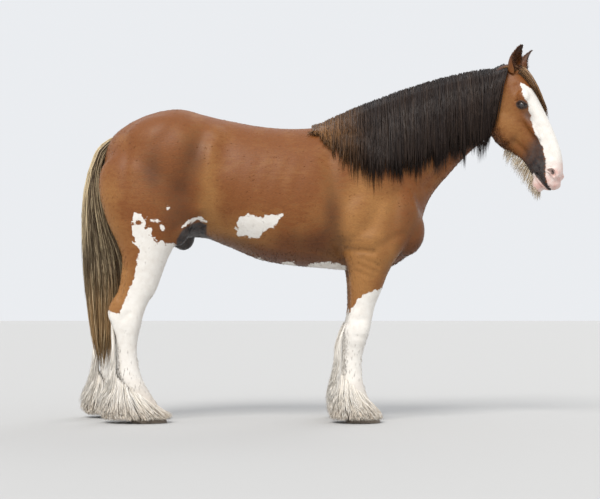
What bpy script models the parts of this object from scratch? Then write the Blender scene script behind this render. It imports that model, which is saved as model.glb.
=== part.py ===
"""A Clydesdale horse standing square, life-size, with its head turned a little to its right.

The horse faces +X, its left side is +Y, and its hooves stand on z = 0. Lengths are in metres.
Flesh is lofted from cross-sections, fused, softened and parted with thin cuts.
"""

import math
import random
from typing import NamedTuple

import bmesh
import bpy
import numpy as np
from mathutils import Matrix, Vector
from mathutils.bvhtree import BVHTree

# Driving dimensions
GAP = 0.0003                      # left between pieces that touch
HAIR_GAP = 2.5 * GAP              # how far the flesh is swollen to cut hair and ears clear of it
NEXT_GAP = 2 * GAP                # the same for ears and hooves
SHARPEST = 2.5                    # limit on how much further a sharp corner is swollen
FORE_LEG_Y = 0.195                # middle of a fore leg, out from the middle of the body
HIND_LEG_Y = 0.20                 # the same for a hind leg
LEFT_HIND_BACK = -0.17            # how far the left hind leg stands behind the right one
POLL = Vector((1.12, -0.02, 2.10))  # top of the head between the ears
HEAD_TURN = math.radians(-30)     # to the horse's right
HEAD_TILT = math.radians(24)      # of the face from the vertical
EYE_RADIUS = 0.024
SIDE_NAMES = {-1: "right", 1: "left"}

# Sizes of the mesh
VOXEL = 0.0065
SOFT_ROUNDS = 16
BROAD_ROUNDS = 110
SOFTNESS = 0.30
BODY_FACES = 2500
HEAD_FACES = 2000

# Places in the head's own axes: forward out of the face, to its side, up along the face, from the poll
EYE_AT = (0.024, 0.093, -0.270)
EYE_SLANT = math.radians(42)
LID_OPENING = (0.060, 0.038)
NOSTRIL_RINGS = [                 # x, z, y, half wide, half tall
    (0.008, -0.696, 0.024, 0.004, 0.008),
    (0.011, -0.704, 0.040, 0.008, 0.015),
    (0.014, -0.712, 0.056, 0.010, 0.021),
    (0.014, -0.716, 0.090, 0.012, 0.024),
]
MOUTH_LINE = ((-0.050, -0.800), (-0.078, -0.672))
MOUTH_OPENING = 0.008
EAR_BASE = (0.040, 0.066, -0.065)
EAR_TIP = (0.178, 0.092, 0.058)
EAR_OPENS = (0.75, 0.55, -0.60)
EAR_RINGS = [                     # along the ear, half width, how far round it goes, hollow inside
    (0.00, 0.030, 2.9, 0.15),
    (0.18, 0.039, 2.7, 0.30),
    (0.32, 0.043, 2.2, 0.84),
    (0.50, 0.042, 1.75, 0.90),
    (0.68, 0.032, 1.45, 0.91),
    (0.84, 0.021, 1.30, 0.90),
    (0.95, 0.010, 1.20, 0.85),
    (1.00, 0.005, 1.10, 0.60),
]

# Hair
MANE_ENDS = ((-0.03, 1.70), (0.109, 1.60), (0.343, 1.46), (0.461, 1.435), (0.578, 1.465),
             (0.696, 1.505), (0.814, 1.545), (0.873, 1.585), (0.973, 1.60), (1.030, 1.66), (1.075, 1.75))
MANE_COUNT = 11
MANE_LAYERS = ((1.0, 0.015), (0.76, 0.032))  # share of the length, lift off the neck
MANE_FULLNESS = 0.90              # width of a lock against the space between roots
MANE_THICK = 0.012
MANE_ROOT = 0.010                 # lift of every root, inside the core
MANE_CORE = (0.17, 0.023)         # share of the length, thickness
CORE_SINK = -0.004                # how far a core on the skin starts inside it
FEATHER_ROWS = (                  # start, end, count, how far round the back
    (0.04, 0.52, 2, 0.60),
    (0.30, 0.86, 2, 0.90),
    (0.58, 1.00, 7, math.pi),
)
FEATHER_LOCK = (0.112, 0.024)     # width, thickness
FEATHER_SPREAD = (0.66, 1.0)      # how far out a lock starts and ends, 1 at the form's surface
FEATHER_CORE = (0.76, 8)          # share of the width, number of sections
TAIL_ROWS = ((0.05, 0.55, 3, 1.60), (0.28, 0.82, 4, math.pi), (0.52, 1.00, 3, math.pi))
TAIL_LOCK = (0.100, 0.030)
TAIL_SPREAD = (0.42, 1.0)
TAIL_CORE = (0.50, 7)
BEARD_COUNT = 6
BEARD_LOCK = (0.046, 0.012)
BEARD_DROOP = 0.030               # how far the tips hang below their form
BEARD_CORE = (0.6, 7)
FORELOCK_COUNT = 4
FORELOCK_Y = (0.000, 0.045)       # from the middle of the forehead to its left, root to tip
FORELOCK_WIDTH = 0.070
FORELOCK_LENGTH = 0.42
FORELOCK_LOCK = (0.034, 0.009)
FORELOCK_LIFT = 0.010             # of locks and core off the face
FLAT_ANGLE = math.radians(5)      # faces flatter than this are merged after a union
SEED = 7

# Colour and roughness of each kind of piece, by how its name starts
LOOKS = {
    "hoof": ((0.16, 0.13, 0.10), 0.5),
    "feather": ((0.80, 0.76, 0.68), 0.8),
    "cannon": ((0.82, 0.79, 0.74), 0.7),
    "mane": ((0.045, 0.028, 0.022), 0.6),
    "forelock": ((0.060, 0.035, 0.022), 0.6),
    "tail": ((0.080, 0.055, 0.040), 0.65),
    "beard": ((0.62, 0.54, 0.42), 0.8),
    "eye": ((0.012, 0.008, 0.006), 0.05),
    "ear": ((0.22, 0.085, 0.035), 0.7),
    "": ((0.30, 0.115, 0.045), 0.55),
}

# Where the flesh is cut into pieces: a point and the direction square to the cut
THROAT_CUT = ((1.040, 0.0, 1.90), (0.957, -0.256, -0.13))
WITHERS_CUT = ((0.36, 0.0, 1.50), (0.75, 0.0, 0.66))
FORE_CUTS = ((0.250, 0.865, 0.0), (0.190, 0.452, 0.0), (0.215, 0.088, -0.30))  # x, z, tilt
HIND_CUTS = ((-1.040, 0.950, 0.0), (-1.130, 0.530, 0.0), (-1.030, 0.088, -0.30))
THROAT_SLAB, WITHERS_SLAB, LEG_SLAB = 1.2, 2.4, 0.37  # sides of the square cutters
FLESH_SPOTS = {
    "head": (1.25, -0.1, 1.80),
    "neck": (0.65, 0.0, 1.75),
    "torso": (-0.40, 0.0, 1.35),
    "forearm_right": (0.25, -0.2, 0.65),
    "forearm_left": (0.25, 0.2, 0.65),
    "cannon_fore_right": (0.19, -0.2, 0.27),
    "cannon_fore_left": (0.19, 0.2, 0.27),
    "gaskin_right": (-1.06, -0.2, 0.74),
    "gaskin_left": (-1.23, 0.2, 0.74),
    "cannon_hind_right": (-1.11, -0.2, 0.31),
    "cannon_hind_left": (-1.28, 0.2, 0.31),
}


class Section(NamedTuple):
    """One cross-section: its front or top edge and its back or bottom edge, both as (x, z)."""

    front: tuple
    back: tuple
    half: float            # half its width across
    y: float = 0.0         # how far it lies to the left
    wide: float = 0.5      # where it is widest, from front 0 to back 1
    square: float = 2.0    # 2 is an ellipse, more is boxier


TORSO = [
    Section((-1.300, 1.56), (-1.300, 1.34), 0.07, wide=0.5),
    Section((-1.265, 1.68), (-1.265, 1.20), 0.17, wide=0.5),
    Section((-1.170, 1.768), (-1.170, 1.08), 0.265, wide=0.45),
    Section((-1.020, 1.834), (-1.020, 1.04), 0.315, wide=0.42, square=2.2),
    Section((-0.850, 1.862), (-0.850, 1.08), 0.330, wide=0.42, square=2.2),
    Section((-0.700, 1.828), (-0.700, 1.085), 0.320, wide=0.46, square=2.15),
    Section((-0.550, 1.793), (-0.550, 1.03), 0.330, wide=0.52, square=2.1),
    Section((-0.370, 1.760), (-0.370, 0.957), 0.347, wide=0.56, square=2.1),
    Section((-0.180, 1.745), (-0.180, 0.922), 0.347, wide=0.57, square=2.1),
    Section((0.000, 1.758), (0.000, 0.905), 0.330, wide=0.58, square=2.0),
    Section((0.140, 1.795), (0.140, 0.892), 0.305, wide=0.60, square=1.95),
    Section((0.270, 1.79), (0.270, 0.885), 0.285, wide=0.58, square=1.95),
    Section((0.390, 1.70), (0.390, 0.90), 0.262, wide=0.56, square=2.0),
    Section((0.490, 1.57), (0.490, 0.955), 0.225, wide=0.54, square=2.0),
    Section((0.565, 1.43), (0.565, 1.02), 0.165, wide=0.52),
    Section((0.600, 1.33), (0.600, 1.10), 0.090, wide=0.5),
]

NECK = [
    Section((-0.02, 1.755), (0.45, 1.02), 0.215, wide=0.55),
    Section((0.10, 1.812), (0.585, 1.14), 0.215, wide=0.60),
    Section((0.26, 1.880), (0.635, 1.28), 0.190, wide=0.62),
    Section((0.44, 1.948), (0.69, 1.375), 0.162, wide=0.62),
    Section((0.62, 2.008), (0.765, 1.46), 0.138, wide=0.60),
    Section((0.78, 2.052), (0.855, 1.56), 0.122, wide=0.55),
    Section((0.92, 2.080), (0.950, 1.65), 0.112, wide=0.50),
    Section((1.03, 2.092), (1.040, 1.72), 0.100, y=-0.01, wide=0.45),
    Section((1.10, 2.085), (1.120, 1.80), 0.085, y=-0.03, wide=0.45),
]

FORE_LEG = [
    Section((0.500, 1.42), (0.110, 1.42), 0.060, y=-0.030),
    Section((0.560, 1.30), (0.075, 1.30), 0.092, y=-0.018),
    Section((0.575, 1.18), (0.070, 1.18), 0.108, y=-0.010),
    Section((0.520, 1.06), (0.090, 1.06), 0.114, y=-0.004),
    Section((0.445, 0.96), (0.130, 0.96), 0.106),
    Section((0.392, 0.87), (0.154, 0.87), 0.092),
    Section((0.352, 0.77), (0.162, 0.77), 0.080),
    Section((0.315, 0.68), (0.162, 0.68), 0.069),
    Section((0.296, 0.60), (0.152, 0.60), 0.065, square=2.3),
    Section((0.282, 0.535), (0.130, 0.535), 0.069, square=2.6),
    Section((0.264, 0.475), (0.132, 0.475), 0.064, square=2.5),
    Section((0.246, 0.42), (0.132, 0.42), 0.050, square=2.2),
    Section((0.236, 0.36), (0.130, 0.36), 0.043),
    Section((0.236, 0.29), (0.126, 0.29), 0.043),
    Section((0.246, 0.22), (0.112, 0.22), 0.054, square=2.2),
    Section((0.268, 0.155), (0.140, 0.155), 0.052),
    Section((0.296, 0.10), (0.140, 0.10), 0.070, wide=0.6),
    Section((0.310, 0.05), (0.140, 0.05), 0.074, wide=0.6),
]

HIND_LEG = [
    Section((-0.780, 1.62), (-1.180, 1.62), 0.090, y=-0.030),
    Section((-0.735, 1.50), (-1.290, 1.50), 0.130, y=-0.018),
    Section((-0.712, 1.38), (-1.310, 1.38), 0.142, y=-0.008),
    Section((-0.715, 1.26), (-1.288, 1.26), 0.140),
    Section((-0.762, 1.15), (-1.250, 1.15), 0.125, y=0.004, wide=0.45),
    Section((-0.842, 1.05), (-1.200, 1.05), 0.105, y=0.004, wide=0.42),
    Section((-0.893, 0.96), (-1.168, 0.96), 0.090, y=0.003, wide=0.45),
    Section((-0.930, 0.86), (-1.172, 0.86), 0.078, wide=0.45),
    Section((-0.965, 0.765), (-1.190, 0.765), 0.066, wide=0.42),
    Section((-1.010, 0.695), (-1.232, 0.695), 0.060, wide=0.38, square=2.2),
    Section((-1.036, 0.63), (-1.248, 0.63), 0.062, wide=0.38, square=2.4),
    Section((-1.052, 0.56), (-1.222, 0.56), 0.060, wide=0.42, square=2.4),
    Section((-1.068, 0.49), (-1.198, 0.49), 0.052, square=2.2),
    Section((-1.074, 0.42), (-1.188, 0.42), 0.045),
    Section((-1.066, 0.34), (-1.182, 0.34), 0.044),
    Section((-1.044, 0.26), (-1.178, 0.26), 0.050),
    Section((-1.018, 0.205), (-1.150, 0.205), 0.055, square=2.2),
    Section((-0.980, 0.145), (-1.104, 0.145), 0.053),
    Section((-0.950, 0.10), (-1.100, 0.10), 0.068, wide=0.6),
    Section((-0.938, 0.05), (-1.100, 0.05), 0.072, wide=0.6),
]

FORE_HOOF = [
    Section((0.338, 0.000), (0.142, 0.000), 0.084, wide=0.55, square=2.2),
    Section((0.343, 0.006), (0.138, 0.006), 0.089, wide=0.55, square=2.2),
    Section((0.318, 0.050), (0.138, 0.050), 0.080, wide=0.55, square=2.1),
    Section((0.286, 0.115), (0.150, 0.115), 0.066, wide=0.55),
]

HIND_HOOF = [
    Section((-0.902, 0.000), (-1.108, 0.000), 0.080, wide=0.55, square=2.2),
    Section((-0.897, 0.006), (-1.112, 0.006), 0.085, wide=0.55, square=2.2),
    Section((-0.925, 0.050), (-1.108, 0.050), 0.077, wide=0.55, square=2.1),
    Section((-0.962, 0.115), (-1.092, 0.115), 0.064, wide=0.55),
]

FORE_FEATHER = [
    Section((0.200, 0.585), (0.130, 0.585), 0.026),
    Section((0.200, 0.520), (0.100, 0.520), 0.040),
    Section((0.200, 0.440), (0.083, 0.440), 0.050),
    Section((0.210, 0.350), (0.080, 0.350), 0.056),
    Section((0.228, 0.280), (0.070, 0.280), 0.066),
    Section((0.256, 0.220), (0.055, 0.220), 0.082),
    Section((0.284, 0.160), (0.042, 0.160), 0.100),
    Section((0.320, 0.100), (0.036, 0.100), 0.118),
    Section((0.352, 0.050), (0.042, 0.050), 0.128),
    Section((0.350, 0.012), (0.062, 0.012), 0.120),
]

HIND_FEATHER = [
    Section((-1.150, 0.600), (-1.250, 0.600), 0.026),
    Section((-1.140, 0.520), (-1.236, 0.520), 0.040),
    Section((-1.130, 0.440), (-1.226, 0.440), 0.050),
    Section((-1.100, 0.350), (-1.232, 0.350), 0.058),
    Section((-1.055, 0.270), (-1.246, 0.270), 0.072),
    Section((-1.002, 0.200), (-1.265, 0.200), 0.092),
    Section((-0.952, 0.140), (-1.292, 0.140), 0.110),
    Section((-0.898, 0.080), (-1.300, 0.080), 0.124),
    Section((-0.872, 0.045), (-1.290, 0.045), 0.128),
    Section((-0.885, 0.012), (-1.245, 0.012), 0.120),
]

TAIL = [
    Section((-1.225, 1.660), (-1.215, 1.742), 0.034),
    Section((-1.275, 1.615), (-1.300, 1.686), 0.044),
    Section((-1.312, 1.540), (-1.362, 1.622), 0.054),
    Section((-1.328, 1.420), (-1.414, 1.462), 0.064),
    Section((-1.312, 1.280), (-1.434, 1.290), 0.075),
    Section((-1.270, 1.120), (-1.437, 1.120), 0.085),
    Section((-1.225, 0.950), (-1.430, 0.950), 0.090),
    Section((-1.215, 0.780), (-1.415, 0.780), 0.085),
    Section((-1.235, 0.620), (-1.390, 0.620), 0.070),
    Section((-1.260, 0.500), (-1.360, 0.500), 0.048),
    Section((-1.285, 0.405), (-1.320, 0.405), 0.020),
]

# The head's own axes: x forward out of the face, y to its left, z up along the face, from the poll
HEAD = [
    Section((0.030, 0.028), (-0.060, 0.028), 0.045),
    Section((0.066, 0.0), (-0.130, 0.0), 0.082, wide=0.45),
    Section((0.090, -0.06), (-0.180, -0.06), 0.100, wide=0.45, square=2.2),
    Section((0.101, -0.13), (-0.205, -0.13), 0.107, wide=0.42, square=2.4),
    Section((0.105, -0.20), (-0.222, -0.20), 0.110, wide=0.38, square=2.5),
    Section((0.104, -0.27), (-0.238, -0.27), 0.104, wide=0.38, square=2.5),
    Section((0.105, -0.34), (-0.240, -0.34), 0.093, wide=0.38, square=2.5),
    Section((0.107, -0.41), (-0.216, -0.41), 0.080, wide=0.36, square=2.4),
    Section((0.107, -0.48), (-0.172, -0.48), 0.068, wide=0.36, square=2.3),
    Section((0.103, -0.55), (-0.136, -0.55), 0.061, wide=0.38, square=2.2),
    Section((0.093, -0.62), (-0.122, -0.62), 0.059, wide=0.42, square=2.2),
    Section((0.074, -0.68), (-0.120, -0.68), 0.062, wide=0.42, square=2.2),
    Section((0.047, -0.735), (-0.108, -0.735), 0.060, wide=0.42, square=2.2),
    Section((0.012, -0.772), (-0.085, -0.772), 0.050, wide=0.45),
    Section((-0.012, -0.790), (-0.060, -0.790), 0.030, wide=0.5),
]

BEARD = [
    Section((-0.180, -0.420), (-0.232, -0.440), 0.012),
    Section((-0.140, -0.460), (-0.238, -0.500), 0.026),
    Section((-0.110, -0.530), (-0.212, -0.580), 0.032),
    Section((-0.100, -0.600), (-0.188, -0.655), 0.034),
    Section((-0.100, -0.660), (-0.176, -0.720), 0.032),
    Section((-0.105, -0.715), (-0.165, -0.765), 0.024),
    Section((-0.110, -0.745), (-0.140, -0.775), 0.010),
]


class Swell(NamedTuple):
    """A ball stretched to half-sizes along x, y and z, leaning forward by an angle in degrees."""

    centre: tuple
    halves: tuple
    lean: float


MUSCLES = [                       # on both sides
    Swell((0.30, 0.165, 1.46), (0.160, 0.115, 0.32), -30),       # shoulder
    Swell((0.200, 0.215, 1.20), (0.150, 0.105, 0.185), 20),      # upper arm
    Swell((0.480, 0.120, 1.14), (0.135, 0.115, 0.170), -12),     # breast
    Swell((-0.95, 0.150, 1.62), (0.25, 0.165, 0.19), -14),       # croup
    Swell((-0.86, 0.215, 1.13), (0.085, 0.080, 0.110), -20),     # stifle
]

HEAD_SWELLS = [                   # on both sides
    Swell((0.040, 0.080, -0.222), (0.046, 0.036, 0.050), -20),   # brow
    Swell((0.022, 0.084, -0.270), (0.034, 0.034, 0.036), 0),     # round the eye
    Swell((-0.115, 0.070, -0.300), (0.112, 0.036, 0.130), 20),   # cheek
    Swell((0.018, 0.076, -0.400), (0.022, 0.022, 0.110), -8),    # facial crest
    Swell((0.014, 0.043, -0.712), (0.030, 0.026, 0.046), -15),   # nostril
]

LIP_SWELLS = [
    Swell((-0.030, 0, -0.762), (0.050, 0.054, 0.036), 25),
    Swell((-0.112, 0, -0.722), (0.036, 0.044, 0.050), 15),
]


class Touch(NamedTuple):
    """A swelling, or a hollow where rise is below 0, along a short line in the head's axes."""

    start: tuple
    end: tuple
    reach: float
    rise: float


HEAD_TOUCHES = [
    Touch((0.035, 0.085, -0.150), (0.030, 0.092, -0.185), 0.020, -0.011),   # hollow above the eye
    Touch((0.040, 0.105, -0.205), (0.058, 0.095, -0.245), 0.012, 0.005),    # brow
    Touch((0.058, 0.085, -0.300), (0.050, 0.080, -0.345), 0.016, -0.005),   # in front of the eye
    Touch((-0.004, 0.100, -0.330), (0.008, 0.076, -0.450), 0.011, 0.003),   # facial crest
    Touch((-0.026, 0.092, -0.360), (-0.016, 0.070, -0.470), 0.016, -0.003),  # under the crest
    Touch((0.054, 0.066, -0.430), (0.046, 0.056, -0.620), 0.020, -0.006),   # beside the nose bone
    Touch((-0.120, 0.070, -0.440), (-0.090, 0.058, -0.520), 0.020, -0.008),  # in front of the jaw
    Touch((-0.078, 0.050, -0.672), (-0.062, 0.046, -0.770), 0.008, -0.007),  # line of the mouth
    Touch((0.016, 0.064, -0.690), (0.014, 0.066, -0.735), 0.010, -0.008),   # nostril
    Touch((0.032, 0.052, -0.695), (0.030, 0.050, -0.735), 0.009, 0.005),    # its inner rim
    Touch((0.040, 0.0, -0.700), (0.010, 0.0, -0.785), 0.010, -0.004),       # middle of the upper lip
]


def head_frame():
    """The matrix that takes the head's own axes to the horse's."""
    turn = Matrix.Rotation(HEAD_TURN, 4, "Z")
    tilt = Matrix.Rotation(-HEAD_TILT, 4, "Y")
    return Matrix.Translation(POLL) @ turn @ tilt


def smooth_rows(rows, steps):
    """Rows of numbers with more rows between them, on a Catmull-Rom curve."""
    rows = np.asarray(rows, float)
    ends = np.vstack([2 * rows[0] - rows[1], rows, 2 * rows[-1] - rows[-2]])
    made = []
    for i in range(len(rows) - 1):
        a, b, c, d = ends[i:i + 4]
        for t in np.arange(steps) / steps:
            made.append(0.5 * (2 * b + (c - a) * t + (2 * a - 5 * b + 4 * c - d) * t ** 2
                               + (3 * b - a - 3 * c + d) * t ** 3))
    made.append(rows[-1])
    return np.array(made)


def signed_power(value, power):
    """A power of a number's size, with the number's own sign."""
    return math.copysign(abs(value) ** power, value)


def ring_points(row, sides):
    """The points round one section, given as the numbers of a Section in a row."""
    fx, fz, bx, bz, half, y, wide, square = row
    front, back = Vector((fx, y, fz)), Vector((bx, y, bz))
    middle = front.lerp(back, wide)
    points = []
    for i in range(sides):
        angle = math.tau * i / sides
        along = signed_power(math.cos(angle), 2 / square)
        across = signed_power(math.sin(angle), 2 / square) * half
        edge = front if along > 0 else back
        points.append(middle + (edge - middle) * abs(along) + Vector((0, across, 0)))
    return points


def skin_rings(bm, rings):
    """Joins rings of points, each to the next, and closes both ends."""
    verts = [[bm.verts.new(p) for p in ring] for ring in rings]
    for low, high in zip(verts, verts[1:]):
        for i in range(len(low)):
            j = (i + 1) % len(low)
            bm.faces.new((low[i], low[j], high[j], high[i]))
    bm.faces.new(verts[0][::-1])
    bm.faces.new(verts[-1])


def loft(sections, sides=20, steps=4, mirror=1, move=None, matrix=None):
    """A closed mesh through the sections. mirror -1 puts it on the right; move shifts each point."""
    rows = [(*s.front, *s.back, s.half, s.y, s.wide, s.square) for s in sections]
    bm = bmesh.new()
    skin_rings(bm, [ring_points(row, sides) for row in smooth_rows(rows, steps)])
    for v in bm.verts:
        v.co.y *= mirror
        if move:
            v.co += move(v.co)
        if matrix:
            v.co = matrix @ v.co
    return face_out(bm)


def ellipsoid(centre, halves, lean=0.0, matrix=None, detail=3):
    """A ball stretched to half-sizes along x, y and z, leaning forward by an angle in degrees."""
    bm = bmesh.new()
    turn = Matrix.Rotation(math.radians(lean), 4, "Y")
    shape = Matrix.Translation(centre) @ turn @ Matrix.Diagonal((*halves, 1))
    bmesh.ops.create_icosphere(bm, subdivisions=detail, radius=1, matrix=(matrix or Matrix()) @ shape)
    return face_out(bm)


def step_back(co):
    """How far a point of the left hind leg is moved back: nothing at the hip, all of it below the hock."""
    share = min(1.0, max(0.0, (1.30 - co.z) / 0.60))
    return Vector((LEFT_HIND_BACK * share * share * (3 - 2 * share), 0, 0))


def hind_place(side):
    """How the points of a hind leg are moved from their table to where it stands."""
    def move(co):
        stand = step_back(co) if side > 0 else Vector()
        return stand + Vector((0, side * HIND_LEG_Y, 0))
    return move


def swells(table, side=1, matrix=None):
    """The balls of a table, mirrored for the right side, -1."""
    return [ellipsoid((s.centre[0], side * s.centre[1], s.centre[2]), s.halves, s.lean, matrix)
            for s in table]


def body_pieces():
    """The closed meshes that the torso, neck and legs are fused from."""
    pieces = [loft(TORSO, 64, 8), loft(NECK, 64, 8)]
    for side in (-1, 1):
        pieces.append(loft(FORE_LEG, 36, 6, side, lambda co: Vector((0, side * FORE_LEG_Y, 0))))
        pieces.append(loft(HIND_LEG, 36, 6, side, hind_place(side)))
        pieces += swells(MUSCLES, side)
    return pieces


def head_pieces():
    """The closed meshes that the head is fused from."""
    at = head_frame()
    pieces = [loft(HEAD, 48, 6, matrix=at)]
    for side in (-1, 1):
        pieces += swells(HEAD_SWELLS, side, at)
    return pieces + swells(LIP_SWELLS, 1, at)


def face_out(bm):
    """Turns the faces of a closed mesh outward."""
    bmesh.ops.recalc_face_normals(bm, faces=bm.faces)
    if bm.calc_volume(signed=True) < 0:
        bmesh.ops.reverse_faces(bm, faces=bm.faces)
    return bm


def mesh_object(name, bm):
    """An object of this name from a bmesh, in triangles that face out. The bmesh is freed."""
    bmesh.ops.triangulate(bm, faces=bm.faces)
    face_out(bm)
    mesh = bpy.data.meshes.new(name)
    bm.to_mesh(mesh)
    bm.free()
    obj = bpy.data.objects.new(name, mesh)
    bpy.context.scene.collection.objects.link(obj)
    return obj


def joined(name, pieces):
    """One object that holds several closed meshes."""
    whole = bmesh.new()
    for piece in pieces:
        held = bpy.data.meshes.new("held")
        piece.to_mesh(held)
        piece.free()
        whole.from_mesh(held)
        bpy.data.meshes.remove(held)
    return mesh_object(name, whole)


def discard(obj):
    """Removes an object and its mesh."""
    mesh = obj.data
    bpy.data.objects.remove(obj)
    bpy.data.meshes.remove(mesh)


def apply_modifiers(obj):
    """Puts what the modifiers make into the object's own mesh."""
    bpy.context.view_layer.update()
    graph = bpy.context.evaluated_depsgraph_get()
    made = bpy.data.meshes.new_from_object(obj.evaluated_get(graph))
    obj.modifiers.clear()
    old, obj.data = obj.data, made
    bpy.data.meshes.remove(old)


def cut(obj, cutter, keep_cutter=False, solver="EXACT"):
    """Takes a cutter's shape out of an object."""
    boolean = obj.modifiers.new("Cut", "BOOLEAN")
    boolean.operation = "DIFFERENCE"
    boolean.solver = solver
    boolean.object = cutter
    apply_modifiers(obj)
    if not keep_cutter:
        discard(cutter)


def vertex_array(mesh):
    """A mesh's vertices as rows of x, y and z."""
    co = np.empty(len(mesh.vertices) * 3)
    mesh.vertices.foreach_get("co", co)
    return co.reshape(-1, 3)


def normal_array(mesh):
    """The directions in which a mesh's vertices face."""
    out = np.empty(len(mesh.vertices) * 3)
    mesh.vertex_normals.foreach_get("vector", out)
    return out.reshape(-1, 3)


def set_vertices(mesh, co):
    mesh.vertices.foreach_set("co", co.ravel())
    mesh.update()


def broad_parts(co):
    """1 where the body is broad and its muscles run softly into each other, down to 0 elsewhere."""
    above = np.clip((co[:, 2] - 1.02) / 0.16, 0, 1)
    behind = np.clip((THROAT_CUT[0][0] - 0.10 - co[:, 0]) / 0.12, 0, 1)
    return (above * behind)[:, None]


def relax(obj, rounds, softness, where=None):
    """Softens a mesh. Every second step pushes back out, so that the legs keep their thickness."""
    mesh = obj.data
    co = vertex_array(mesh)
    share = where(co) if where else 1.0
    count = len(co)
    ends = np.empty(len(mesh.edges) * 2, int)
    mesh.edges.foreach_get("vertices", ends)
    a, b = ends.reshape(-1, 2).T
    degree = np.bincount(ends, minlength=count)[:, None]
    for step in (0.6, -0.6 * (1 - softness)) * rounds:
        total = np.zeros_like(co)
        for axis in range(3):
            total[:, axis] = np.bincount(a, co[b, axis], count) + np.bincount(b, co[a, axis], count)
        co += share * step * (total / degree - co)
    set_vertices(mesh, co)


def mould(mesh, touches):
    """Presses in or swells the head along short lines, alike on both sides."""
    to_head = np.array(head_frame().inverted())
    co = vertex_array(mesh)
    out = normal_array(mesh)
    here = co @ to_head[:3, :3].T + to_head[:3, 3]
    here[:, 1] = np.abs(here[:, 1])
    push = np.zeros(len(co))
    for touch in touches:
        a, b = np.array(touch.start), np.array(touch.end)
        along = np.clip((here - a) @ (b - a) / ((b - a) @ (b - a)), 0, 1)
        away = np.linalg.norm(here - a - along[:, None] * (b - a), axis=1)
        push += touch.rise * np.exp(-(away / touch.reach) ** 2)
    set_vertices(mesh, co + out * push[:, None])


def fuse_flesh():
    """The whole animal without its ears, eyes, hooves and hair, as one closed surface."""
    obj = joined("flesh", body_pieces() + head_pieces())
    remesh = obj.modifiers.new("Remesh", "REMESH")
    remesh.mode = "VOXEL"
    remesh.voxel_size = VOXEL
    apply_modifiers(obj)
    relax(obj, SOFT_ROUNDS, SOFTNESS)
    relax(obj, BROAD_ROUNDS, SOFTNESS, broad_parts)
    mould(obj.data, HEAD_TOUCHES)
    relax(obj, 1, 0.3)
    return obj


def head_weights(obj):
    """A vertex group that holds everything but the head."""
    group = obj.vertex_groups.new(name="body")
    co = vertex_array(obj.data)
    point, normal = np.array(THROAT_CUT[0]), np.array(THROAT_CUT[1])
    behind = np.nonzero((co - point) @ normal < 0.01)[0]
    group.add(behind.tolist(), 1.0, "REPLACE")
    return len(co) - len(behind)


def simplify(obj):
    """Fewer triangles, many of them kept for the head."""
    head_count = head_weights(obj)
    triangles = 2 * len(obj.data.polygons)
    first = obj.modifiers.new("Body", "DECIMATE")
    first.vertex_group = "body"
    first.ratio = (BODY_FACES + 2 * head_count) / triangles
    apply_modifiers(obj)
    triangles = sum(len(p.vertices) - 2 for p in obj.data.polygons)
    second = obj.modifiers.new("Head", "DECIMATE")
    second.vertex_group = "body"
    second.invert_vertex_group = True
    second.ratio = (BODY_FACES + HEAD_FACES) / triangles
    apply_modifiers(obj)
    bm = bmesh.new()
    bm.from_mesh(obj.data)
    bmesh.ops.triangulate(bm, faces=bm.faces)
    bmesh.ops.beautify_fill(bm, faces=bm.faces, edges=bm.edges)
    bm.to_mesh(obj.data)
    bm.free()
    relax(obj, 2, 0.1)


def swollen(obj, by, name="swollen"):
    """A copy of an object, its surface moved out a little, to cut its neighbours clear of it."""
    bm = bmesh.new()
    bm.from_mesh(obj.data)
    bmesh.ops.triangulate(bm, faces=bm.faces)
    for vert in bm.verts:
        vert.co += vert.normal * by * min(vert.calc_shell_factor(), SHARPEST)
    mesh = bpy.data.meshes.new(name)
    bm.to_mesh(mesh)
    bm.free()
    grown = bpy.data.objects.new(name, mesh)
    bpy.context.scene.collection.objects.link(grown)
    return grown


def slab(point, normal, size):
    """A thin cutter across a point, square to a direction."""
    bm = bmesh.new()
    facing = Vector(normal).to_track_quat("Z", "Y").to_matrix().to_4x4()
    shape = Matrix.Translation(point) @ facing @ Matrix.Diagonal((size, size, GAP, 1))
    bmesh.ops.create_cube(bm, size=1, matrix=shape)
    return bm


def loose_parts(mesh):
    """The closed surfaces of a mesh, each as a new mesh."""
    bm = bmesh.new()
    bm.from_mesh(mesh)
    left = set(bm.faces)
    parts = []
    while left:
        first = left.pop()
        group, open_ends = {first}, [first]
        while open_ends:
            for edge in open_ends.pop().edges:
                for face in edge.link_faces:
                    if face in left:
                        left.remove(face)
                        group.add(face)
                        open_ends.append(face)
        parts.append(group)
    meshes = [copy_faces(group) for group in parts]
    bm.free()
    return meshes


def copy_faces(faces):
    """A new mesh of some of a bmesh's faces."""
    part = bmesh.new()
    made = {}
    for face in faces:
        for vert in face.verts:
            if vert not in made:
                made[vert] = part.verts.new(vert.co)
        part.faces.new([made[vert] for vert in face.verts])
    mesh = bpy.data.meshes.new("part")
    part.to_mesh(mesh)
    part.free()
    return mesh


def triangulate(obj):
    """Splits the faces of an object's mesh into triangles."""
    bm = bmesh.new()
    bm.from_mesh(obj.data)
    bmesh.ops.triangulate(bm, faces=bm.faces)
    bm.to_mesh(obj.data)
    bm.free()


def volume(mesh):
    """How much space a closed mesh fills."""
    bm = bmesh.new()
    bm.from_mesh(mesh)
    space = bm.calc_volume()
    bm.free()
    return space


def largest_only(obj):
    """Keeps the largest closed surface of an object's mesh."""
    parts = loose_parts(obj.data)
    old, obj.data = obj.data, max(parts, key=volume)
    bpy.data.meshes.remove(old)


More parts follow.
